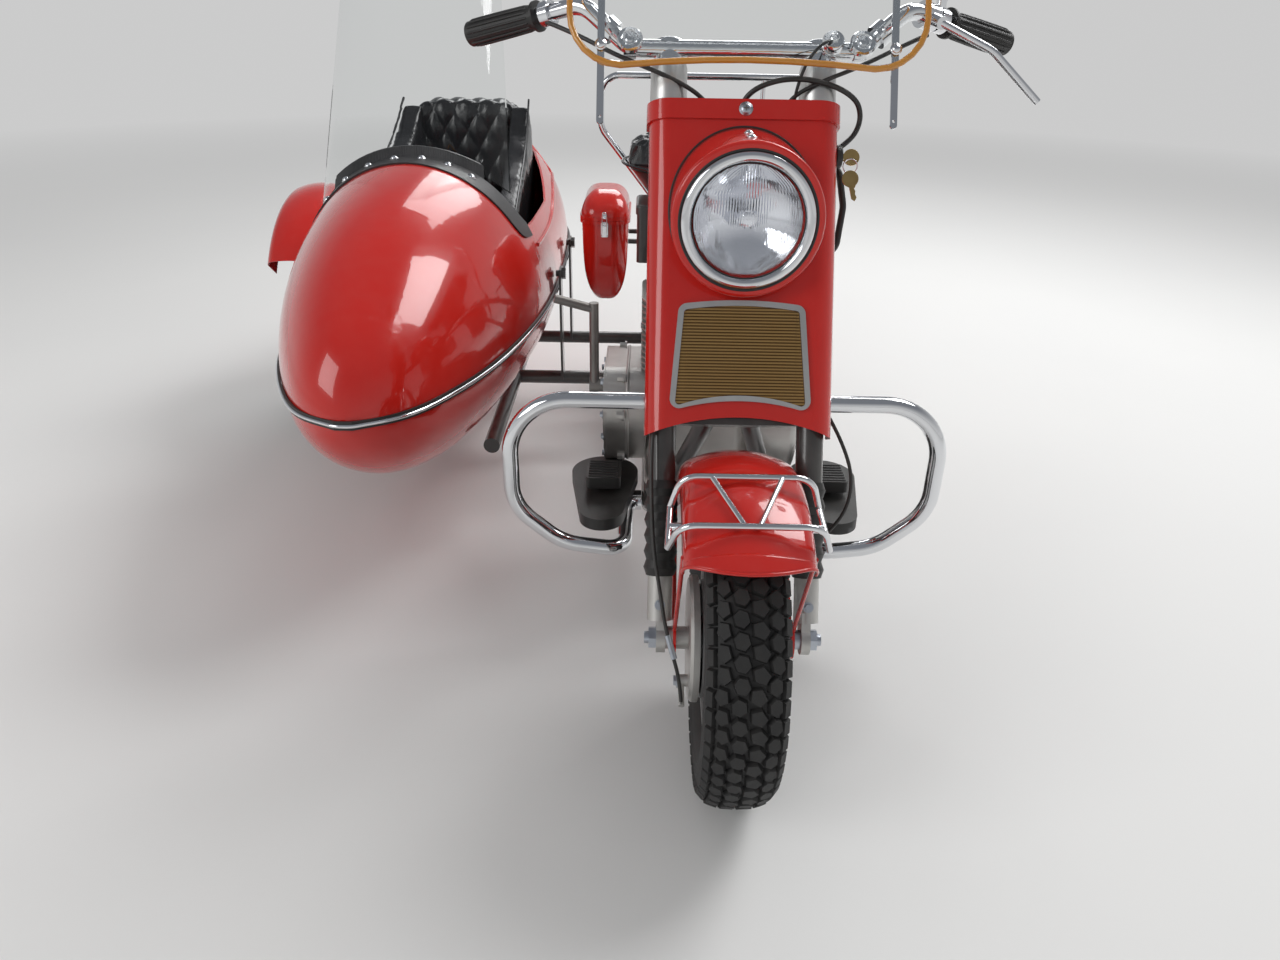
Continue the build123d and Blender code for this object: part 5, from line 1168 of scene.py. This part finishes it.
# Mirror glasses in their rims
for way, label in both_sides:
    mirror_place = spot(way * 440, 379, 1052)
    mirror_glass = turned(
        "mirror_glass_" + label, mirror_place, rearward, across,
        [(0, 1.9), (24, 1.5), (46, 0.5), (46.4, 0.1), (0, 0.1)], reflector, steps=72,
    )
    mirror_rim = turned(
        "mirror_rim_" + label, mirror_place, rearward, across,
        [(46.2, 0.1), (50, 0.1), (50.4, 1.0), (49.6, 2.4), (47.6, 2.6), (46.2, 1.6), (46.2, 0.1)],
        chrome, steps=72,
    )
    place_all("steering", mirror_glass, mirror_rim)

# Tail lamp and the blank plate above it
tail_end = Vector((ground_point.x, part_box("tail_lamp")[1].y, ground_point.z + 0.36))
tail_ring = turned(
    "tail_ring", tail_end, rearward, across,
    [(28, -8), (33.6, -8), (34.4, -6), (34.4, 1.6), (32.6, 3.4), (29.6, 3.2), (28, 0.2), (28, -8)],
    chrome, steps=72,
)
tail_glass = turned(
    "tail_glass", tail_end, rearward, across,
    [(0, 0.1), (29.4, 0.1), (29.4, 2.4), (28.2, 6.0), (23, 10.2), (14, 12.6), (0, 13.4)],
    red_lens, steps=72,
)
plate_place = spot(0, 1532.5, 452)
plate_sheet = plate(
    "blank_plate", oblong(plate_place, across, upward, 88, 50, 8), rearward, 0.0012, plate_enamel,
    bevel=0.0004,
)
plate_edge = tube(
    "plate_edge", oblong(plate_place + rearward * 0.0018, across, upward, 85, 47, 6), 2.6, plate_enamel,
    closed=True, round_off=False, sides=3,
)
plate_bolts = heads(
    "plate_bolts", hex_heads,
    [(plate_place + across * (way * 0.073) + rearward * 0.0026, rearward) for way in (-1, 1)],
    5.5, 4.0, zinc_plate,
)
place_all("chassis", tail_ring, tail_glass, plate_sheet, plate_edge, plate_bolts)

# Catches of the saddlebags: lever and bail on the bag, strike on the lid, and the hinge at the rear
bail_line = (
    (-4.2, 550), (-4.6, 566), (-4.6, 582), (-3.4, 588.5), (0, 590), (3.4, 588.5), (4.6, 582), (4.6, 566),
    (4.2, 550),
)
for way, label in both_sides:
    middle = way * 207
    lever = plate(
        "bag_lever_" + label, oblong(spot(middle, 874.4, 552), across, upward, 5.4, 11.5, 3), -rearward,
        0.0026, chrome, bevel=0.0009,
    )
    bail_points = [spot(middle + side, 872.6, height) for side, height in bail_line]
    bail = tube("bag_bail_" + label, bail_points, 1.9, chrome)
    rivet_places = [(spot(middle + side, 874.6, 543.5), -rearward) for side in (-4.6, 4.6)]
    rivets = heads("bag_rivets_" + label, dome_heads, rivet_places, 1.9, 1.4, chrome)
    strike = plate(
        "bag_strike_" + label, oblong(spot(middle, 879.4, 581), across, upward, 3.4, 5.0, 1.2), -rearward,
        0.0048, chrome, bevel=0.0008,
    )
    hinge = turned(
        "bag_hinge_" + label, spot(middle, 1070.0, 570.2), across, upward,
        [(0, -24), (2.6, -24), (3.0, -23.4), (3.0, -9), (2.5, -8.6), (3.0, -8.2), (3.0, 8.2), (2.5, 8.6),
         (3.0, 9), (3.0, 23.4), (2.6, 24), (0, 24)],
        chrome, steps=24,
    )
    leaf = plate(
        "bag_leaf_" + label, oblong(spot(middle, 1070.4, 560), across, upward, 22, 8.5, 2), rearward,
        0.0012, chrome, bevel=0.0003,
    )
    place_all("chassis", lever, bail, rivets, hinge, leaf)
    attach(strike, label + "_lid")

# Engine: cover bolts, spark plug with its lead, carburettor cap, fuel line and tank cap
flywheel_middle = (458, 330)
flywheel_bolt_circle = 62
flywheel_bolt_turn = 0.3
cover_bolt_places = (
    (392, 366), (420, 412), (470, 418), (560, 398), (640, 372), (664, 320), (642, 262), (590, 240),
    (520, 246), (462, 262), (420, 314),
)
bolts = [(spot(-190.2, *place), -across) for place in cover_bolt_places]
for angle in round_angles(6):
    reach = flywheel_middle[0] + flywheel_bolt_circle * math.cos(angle + flywheel_bolt_turn)
    height = flywheel_middle[1] + flywheel_bolt_circle * math.sin(angle + flywheel_bolt_turn)
    bolts.append((spot(130.2, reach, height), across))
engine_bolts = heads("engine_bolts", hex_heads, bolts, 5.5, 4.2, zinc_plate)


def wrapped(circles, grow, steps=48):
    """Closed outline drawn tight round circles, each given as reach, height and radius in mm."""
    cloud = sorted(
        (reach + (radius + grow) * math.cos(angle), height + (radius + grow) * math.sin(angle))
        for reach, height, radius in circles
        for angle in round_angles(steps)
    )
    outline = []
    for ordered in (cloud, cloud[::-1]):
        run = []
        for point in ordered:
            while len(run) > 1 and (
                (run[-1][0] - run[-2][0]) * (point[1] - run[-2][1])
                <= (run[-1][1] - run[-2][1]) * (point[0] - run[-2][0])
            ):
                run.pop()
            run.append(point)
        outline += run[:-1]
    return outline


cover_circles = ((450, 366, 60), (590, 320, 88), (500, 300, 60))
rims = []
for side, grow, thickness in ((-150, -0.6, 6.0), (-186.5, -2.2, 5.0), (-120, -0.6, 4.0)):
    rim_points = [spot(side, *place) for place in wrapped(cover_circles, grow)]
    rims.append(tube("cover_rim", rim_points, thickness, cast_alloy, closed=True, round_off=False, sides=3))
cover_rims = joined("cover_rims", rims)
lug_places = [(spot(-156.5, *place), -across) for place in wrapped(cover_circles, 2.0, steps=18)[::3]]
cover_lugs = heads("cover_lugs", hex_heads, lug_places, 6.5, 11.0, cast_alloy)
flywheel_cap = turned(
    "flywheel_cap", spot(130.1, *flywheel_middle), across, upward,
    [(0, 0.1), (38, 0.1), (38, 2.2), (35, 4.6), (30, 4.8), (28, 3.0), (12, 3.0), (11, 6.5), (0, 7.0)],
    satin_alloy, steps=72,
)
plug_foot = spot(-45, 485, 578.5)
plug_white = turned(
    "plug_insulator", plug_foot, upward, across,
    [(0, 1.8), (5.0, 1.8), (5.2, 6), (4.4, 8), (4.8, 10), (4.2, 12), (4.4, 14), (3.8, 22), (0, 22)],
    porcelain, steps=32,
)
plug_cap = turned(
    "plug_cap", plug_foot, upward, across,
    [(4.6, 12), (7.6, 12), (8.2, 14), (8.0, 30), (6.6, 34), (0, 35)], moulded_rubber, steps=32,
)
lead_route = (
    (-45, 485, 608), (-47, 486, 622), (-58, 500, 630), (-70, 530, 610), (-66, 560, 560), (-50, 585, 540),
    (-24, 600, 566), (-14, 604, 584),
)
plug_lead = tube("plug_lead", [spot(*point) for point in lead_route], 7.0, cable_black)
carburettor_cap = turned(
    "carburettor_cap", spot(-45, 597, 522.2), upward, across,
    [(0, 0.1), (25.5, 0.1), (26, 1.4), (26, 5), (23, 7.4), (9, 8.4), (8, 15), (5, 17), (0, 17)],
    satin_alloy, steps=48,
)
fuel_route = (
    (-20, 470, 628), (-30, 500, 606), (-46, 552, 590), (-74, 592, 560), (-72, 598, 520), (-66, 598, 500),
)
fuel_line = tube("fuel_line", [spot(*point) for point in fuel_route], 6.4, cable_black)
tank_cap = turned(
    "tank_cap", Vector((ground_point.x, spot(0, 454, 0).y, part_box("fuel_tank")[1].z)), upward, across,
    [(0, 0.2), (27.5, 0.2), (28.6, 1.6), (28.6, 8.6), (26.6, 11.4), (12, 13.4), (0, 14)],
    chrome, steps=72,
)
place_all(
    "chassis", engine_bolts, cover_rims, cover_lugs, flywheel_cap, plug_white, plug_cap, plug_lead,
    carburettor_cap, fuel_line, tank_cap,
)

# Ribs on the footboards and pedals. A board is round at both ends, with a taper between the rounds
board_side = 188
front_round = (300, 36.0)
rear_round = (432, 57.0)


def board_half_width(reach):
    """Half the width of a footboard at a distance behind the front axle."""
    for (middle, radius), way in ((front_round, -1), (rear_round, 1)):
        if (reach - middle) * way > 0:
            return math.sqrt(max(0.0, radius**2 - (reach - middle) ** 2))
    share = (reach - front_round[0]) / (rear_round[0] - front_round[0])
    return front_round[1] + (rear_round[1] - front_round[1]) * share


rib_places = []
for way in (-1, 1):
    for row in range(27):
        reach = 272 + 8 * row
        half = board_half_width(reach)
        if half > 12:
            rib_places.append((spot(way * board_side, reach, 230.2), 2 * half - 9))
    for row in range(7):
        rib_places.append((spot(way * board_side, 353 + 9 * row, 272.2), 48))
pad_ribs = ribs("pad_ribs", rib_places, 4.2, 4.0, moulded_rubber)
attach(pad_ribs, "chassis")

# Nuts on the wheels, their valve stems, and the small bolts of the brake plate and the fork
nut_circle = 44
stem_circle = 108
stem_angle = 0.9
stem_way = Vector((0.42, math.cos(stem_angle), math.sin(stem_angle))).normalized()
for wheel, (body, (side, reach, height)) in wheels.items():
    nut_places = []
    for angle in round_angles(6):
        along = reach + nut_circle * math.cos(angle)
        nut_places.append((spot(side + 12.2, along, height + nut_circle * math.sin(angle)), across))
    wheel_nuts = heads(wheel + "_wheel_nuts", hex_heads, nut_places, 6.4, 6.0, zinc_plate)
    along = reach + stem_circle * math.cos(stem_angle)
    stem_foot = spot(side + 20, along, height + stem_circle * math.sin(stem_angle))
    valve_stem = turned(
        wheel + "_valve_stem", stem_foot, -stem_way + across * 0.9, across.cross(stem_way),
        [(0, -4), (3.6, -4), (3.2, 8), (2.6, 12), (2.6, 20), (3.4, 20.5), (3.4, 27), (0, 28)],
        moulded_rubber, steps=24,
    )
    place_all(body, wheel_nuts, valve_stem)
brake_bolt_places = [(spot(-73.6, -42, 178), -across), (spot(-74.6, 48, 182), -across)]
brake_bolts = heads("brake_bolts", hex_heads, brake_bolt_places, 7.4, 5.0, zinc_plate)
fork_bolt_places = [(fork_spot(way * leg_side, -17.2, 46), -fork_back) for way in (-1, 1)]
fork_bolts = heads("fork_bolts", hex_heads, fork_bolt_places, 5.4, 4.0, zinc_plate)
place_all("steering", brake_bolts, fork_bolts)

# Clamps of the exhaust
clamp_inner = 39.4
clamp_outer = 41.8
for label, reach in (("front", 772.0), ("middle", 828.0), ("rear", 1090.0)):
    clamp_ring = turned(
        "muffler_clamp_" + label, spot(168, reach, 250), rearward, across,
        [(clamp_inner, -7), (clamp_outer, -7), (clamp_outer + 0.6, -5), (clamp_outer + 0.6, 5),
         (clamp_outer, 7), (clamp_inner, 7), (clamp_inner, -7)],
        zinc_plate, steps=72,
    )
    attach(clamp_ring, "chassis")

# Sidecar: chrome bead on the belt, and the bead along the cockpit's edge
belt_node = nodes["sidecar_belt"]
belt_middle = 1060
belt_points = []
for angle in round_angles(160):
    guess = spot(sidecar_side + 330 * math.cos(angle), belt_middle + 900 * math.sin(angle), belt_height)
    reach = min(1600.0, max(520.0, belt_middle + 760 * math.sin(angle)))
    inward = (spot(sidecar_side, reach, belt_height) - guess).normalized()
    hit, near = belt_node.ray_cast(guess, inward)[:2]
    if hit:
        belt_points.append(near - inward * 0.0004)
belt_bead = tube("belt_bead", belt_points, 6.4, chrome, closed=True)
cockpit_line = (
    (900, 549), (940, 545), (1000, 543), (1070, 542), (1140, 543), (1200, 551), (1260, 564), (1320, 578),
    (1380, 591), (1440, 602), (1500, 609), (1545, 612),
)
cockpit_edge = []
for place in cockpit_line:
    cockpit_edge.append(nearest(cowl_node, spot(sidecar_side + 320, *place)) + Vector((0.0006, 0, 0.001)))
rear_edge = []
for step in range(1, 12):
    angle = math.pi * step / 12
    guess = spot(sidecar_side + 190 * math.cos(angle), 1556, 612 + 120 * math.sin(angle))
    rear_edge.append(nearest(cowl_node, guess) + Vector((0, -0.0006, 0.001)))
twice_middle = 2 * spot(sidecar_side, 0, 0).x
mirrored_edge = [Vector((twice_middle - point.x, point.y, point.z)) for point in cockpit_edge[::-1]]
cockpit_bead = tube("cockpit_bead", cockpit_edge + rear_edge + mirrored_edge, 8.0, red_enamel)
place_all("chassis", belt_bead, cockpit_bead)


# Padded pieces


def point_rows(mesh, label):
    """Places or normals of a mesh's points, a row for each."""
    values = np.zeros(len(mesh.vertices) * 3)
    mesh.vertices.foreach_get(label, values)
    return values.reshape(-1, 3)


def swell(piece, voxel, reach, held_below):
    """Swells a closed pad by at most reach in millimetres, as cloth under pressure.

    The cloth holds its points below held_below, a height in metres."""
    net = piece.modifiers.new("net", "REMESH")
    net.mode = "VOXEL"
    net.voxel_size = voxel / 1000
    net.use_smooth_shade = True
    applied(piece)
    rest = point_rows(piece.data, "co")
    limit = reach / 1000
    held = piece.vertex_groups.new(name="held")
    held.add([index for index, point in enumerate(rest) if point[2] < held_below], 1.0, "REPLACE")
    cloth = piece.modifiers.new("cloth", "CLOTH").settings
    cloth.use_pressure = True
    cloth.uniform_pressure_force = 4.0
    cloth.effector_weights.gravity = 0
    cloth.tension_stiffness = 12
    cloth.bending_stiffness = 1.5
    cloth.quality = 4
    cloth.vertex_group_mass = "held"
    for step in range(1, 21):
        scene.frame_set(step)
    applied(piece)
    swollen = point_rows(piece.data, "co")
    piece.vertex_groups.clear()
    scene.frame_set(1)
    travel = swollen - rest
    distance = np.linalg.norm(travel, axis=1, keepdims=True)
    travel *= np.minimum(1.0, limit / np.maximum(distance, 1e-9))
    piece.data.vertices.foreach_set("co", (rest + travel).ravel())
    piece.data.update()
    finer = piece.modifiers.new("finer", "SUBSURF")
    finer.levels = 1
    finer.render_levels = 1
    applied(piece)
    for face in piece.data.polygons:
        face.use_smooth = True


def worked(piece, change):
    """Moves each point of a piece by what change(point, normal) gives, in metres."""
    mesh = piece.data
    moves = [change(vertex.co, vertex.normal) for vertex in mesh.vertices]
    for vertex, move in zip(mesh.vertices, moves):
        vertex.co += move
    mesh.update()


def pillow(along, over, pitch_along, pitch_over):
    """How far a diamond tufted cover sinks, from 0 on a diamond's middle to 1 on its seams."""
    first = along / pitch_along + over / pitch_over
    second = along / pitch_along - over / pitch_over
    near_first = abs(first - round(first)) * 2
    near_second = abs(second - round(second)) * 2
    return 1 - math.sqrt(math.sin(math.pi / 2 * near_first) * math.sin(math.pi / 2 * near_second))


def smooth_step(value, low, high):
    """0 below low, 1 above high, with an even passage between."""
    share = min(1.0, max(0.0, (value - low) / (high - low)))
    return share * share * (3 - 2 * share)


def saddle_outline(inset):
    """Plan outline of the saddle, as places at its foot, pulled in by the inset."""
    outline = []
    circles = ((60, 745, 108 - inset), (-60, 745, 108 - inset), (0, 600, 68 - inset))
    for angle in round_angles(72):
        way = (math.cos(angle), math.sin(angle))
        best = max(circles, key=lambda circle: circle[0] * way[0] + circle[1] * way[1] + circle[2])
        outline.append((best[0] + best[2] * way[0], best[1] + best[2] * way[1]))
    return outline


saddle_pad = block("saddle_tufted", [spot(x, y, 703) for x, y in saddle_outline(9)], upward * 0.044, leather)
swell(saddle_pad, 5.0, 9.0, held_below=0.706)
saddle_middle = spot(0, 690, 0)


def saddle_tufts(point, normal):
    """Tufted top of the saddle, plain towards its rim."""
    away = (point - saddle_middle) * 1000
    lift = smooth_step(normal.z, 0.35, 0.8)
    sink = pillow(away.x, away.y, 46.0, 46.0) * lift
    return -normal * (0.0065 * sink)


worked(saddle_pad, saddle_tufts)
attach(saddle_pad, "chassis")
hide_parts("saddle")
welt_places = [spot(x, y, 709) for x, y in saddle_outline(-0.5)]
saddle_welt = tube("saddle_welt", welt_places, 5.0, leather, closed=True)
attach(saddle_welt, "chassis")

# Back of the sidecar's seat, its wings and its cushion
back_front = 1462
back_half = 158.0
back_corner = 82.0
back_low = 324.0
back_high = 742.0
back_outline = []
for way, start in ((1, 0), (-1, 90)):
    for step in range(9):
        angle = math.radians(start + 90 * step / 8)
        side = way * (back_half - back_corner) + back_corner * math.cos(angle)
        height = back_high - back_corner + back_corner * math.sin(angle)
        back_outline.append(spot(sidecar_side + side, back_front, height))
for way in (-1, 1):
    back_outline.append(spot(sidecar_side + way * back_half, back_front, back_low))
seat_back = block("seat_back_tufted", back_outline, rearward * 0.074, leather)
swell(seat_back, 6.0, 9.0, held_below=0.335)
seat_middle = spot(sidecar_side, 1453, 0)


def back_tufts(point, normal):
    """Diamond tufts over the front and the top roll of the seat's back."""
    away = (point - seat_middle) * 1000
    forward = smooth_step(-normal.y, 0.15, 0.6) + smooth_step(normal.z, 0.2, 0.6)
    over = away.z - away.y
    sink = pillow(away.x, over - 752, 55.0, 92.0) * min(1.0, forward)
    return -normal * (0.008 * sink)


worked(seat_back, back_tufts)
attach(seat_back, "chassis")
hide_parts("sidecar_seat_back")

wing_profile = (
    (944, 332), (944, 528), (962, 546), (1060, 574), (1180, 604), (1280, 630), (1380, 676), (1440, 714),
    (1472, 734), (1472, 332),
)


def wing_face(way, reach):
    """Distance of a wing's inner face from the sidecar's centre plane: it spreads forward."""
    return way * (112 + 20 * (1453 - reach) / 523)


def wing_creases(point, normal):
    """Soft creases that run up a wing's cover."""
    stretched = Vector((point.x * 12, point.y * 26 - point.z * 14, point.z * 7))
    fold = noise.noise(stretched)
    return normal * (0.003 * fold * smooth_step(fold, -0.2, 0.4))


for way, label in both_sides:
    face = [(sidecar_side + wing_face(way, reach), reach, height) for reach, height in wing_profile]
    foot = [spot(side, reach, height - 6) for side, reach, height in face]
    wing = block("seat_wing_" + label, foot, across * (way * 0.046), leather)
    swell(wing, 8.0, 8.0, held_below=0.335)
    worked(wing, wing_creases)
    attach(wing, "chassis")
    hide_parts("sidecar_seat_back")
    welt_points = [spot(side + way * 44, reach, height + 1) for side, reach, height in face[1:-1]]
    wing_welt = tube("wing_welt_" + label, welt_points, 5.0, leather)
    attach(wing_welt, "chassis")

cushion_outline = oblong(spot(sidecar_side, 1263, 322), across, rearward, 94, 178, 24, steps=5)
cushion = block("seat_cushion", cushion_outline, upward * 0.096, leather)
swell(cushion, 7.0, 9.0, held_below=0.33)
cushion_middle = spot(sidecar_side, 1263, 0)


def cushion_pleats(point, normal):
    """Sewn channels that run from the cushion's front to its rear."""
    away = (point - cushion_middle) * 1000
    lift = smooth_step(normal.z, 0.4, 0.85)
    seam = abs(away.x / 38 - round(away.x / 38)) * 2
    return -normal * (0.006 * lift * (1 - math.sqrt(math.sin(math.pi / 2 * seam))))


worked(cushion, cushion_pleats)
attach(cushion, "chassis")
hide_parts("sidecar_cushion")

# Floor, light and camera
ground_size = 140.0
ground_corners = [(x * ground_size, y * ground_size, 0) for x, y in ((-1, -1), (1, -1), (1, 1), (-1, 1))]
ground_mesh = bpy.data.meshes.new("ground")
ground_mesh.from_pydata(ground_corners, [], [(0, 1, 2, 3)])
ground_paint = finish(
    "studio_floor", (0.78, 0.78, 0.77), (0.74, 0.74, 0.735), 0.9, cloud=0.8, spread=0.02, dusty=0.0
)


def seen_by_eye(tree):
    """1 for what the camera sees, also in a reflection or through glass, and 0 for other light."""
    rays = wire(tree, "ShaderNodeLightPath").outputs
    seen = sum_of(tree, "MAXIMUM", rays["Is Camera Ray"], rays["Is Glossy Ray"])
    return sum_of(tree, "MAXIMUM", seen, rays["Is Transmission Ray"])


floor_tree = ground_paint.node_tree
floor_place = object_place(floor_tree)
floor_reach = wire(
    floor_tree, "ShaderNodeVectorMath", {"operation": "LENGTH"}, {0: floor_place}
).outputs["Value"]
far_share = wire(
    floor_tree, "ShaderNodeMapRange", (), {"Value": floor_reach, "From Min": 2.2, "From Max": 7.0}
).outputs[0]
plain_floor = wire(floor_tree, "ShaderNodeEmission", (), {"Color": (0.6, 0.6, 0.6, 1), "Strength": 1.0})
floor_parts = {
    0: sum_of(floor_tree, "MULTIPLY", far_share, seen_by_eye(floor_tree)),
    1: floor_tree.nodes["Principled BSDF"].outputs[0],
    2: plain_floor.outputs[0],
}
floor_mix = wire(floor_tree, "ShaderNodeMixShader", (), floor_parts)
floor_tree.links.new(floor_mix.outputs[0], floor_tree.nodes["Material Output"].inputs["Surface"])
ground_mesh.materials.append(ground_paint)
ground = link(bpy.data.objects.new("ground", ground_mesh))
ground.location.z = -0.0002


def lamp(name, place, target, size, watts):
    """Square soft lamp at a place, aimed at a target, both in metres."""
    light = bpy.data.lights.new(name, "AREA")
    light.size = size
    light.energy = watts
    holder = link(bpy.data.objects.new(name, light))
    holder.location = place
    holder.rotation_mode = "QUATERNION"
    holder.rotation_quaternion = (Vector(target) - Vector(place)).to_track_quat("-Z", "Y")


lamp("key_lamp", (2.4, 1.0, 3.6), (0, -0.3, 0.4), 2.0, 105)
lamp("fill_lamp", (-3.0, -2.6, 2.4), (0, -0.2, 0.4), 2.0, 46)
lamp("back_lamp", (0.5, 3.6, 3.2), (0, 0, 0.5), 2.0, 50)

world = bpy.data.worlds.new("studio")
scene.world = world
world.use_nodes = True
sky = world.node_tree
sky.nodes.clear()
direction = wire(sky, "ShaderNodeTexCoord").outputs["Generated"]
climb = wire(sky, "ShaderNodeSeparateXYZ", (), {0: direction}).outputs["Z"]
ramp = wire(sky, "ShaderNodeValToRGB", (), {0: climb})
ramp.color_ramp.elements[0].position = 0.0
ramp.color_ramp.elements[0].color = (0.6, 0.6, 0.6, 1)
ramp.color_ramp.elements[1].position = 0.6
ramp.color_ramp.elements[1].color = (0.2, 0.21, 0.23, 1)
shown_sky = wire(sky, "ShaderNodeBackground", (), {"Color": ramp.outputs[0], "Strength": 1.0})
lighting = wire(sky, "ShaderNodeBackground", (), {"Color": (1, 1, 1, 1), "Strength": 0.42})
sky_parts = {0: seen_by_eye(sky), 1: lighting.outputs[0], 2: shown_sky.outputs[0]}
chosen = wire(sky, "ShaderNodeMixShader", (), sky_parts)
wire(sky, "ShaderNodeOutputWorld", (), {0: chosen.outputs[0]})

scene.view_settings.view_transform = "Standard"

camera_data = bpy.data.cameras.new("camera")
camera_data.sensor_width = 36.0
camera_data.lens = 25.99
camera_data.clip_end = 400.0
camera = link(bpy.data.objects.new("camera", camera_data))
pitch = Matrix.Rotation(math.radians(62.0), 4, "X")
roll = Matrix.Rotation(math.radians(1.0), 4, "Z")
camera.matrix_world = Matrix.Translation(spot(-127, -995, 983)) @ pitch @ roll
scene.camera = camera

view_layer.update()
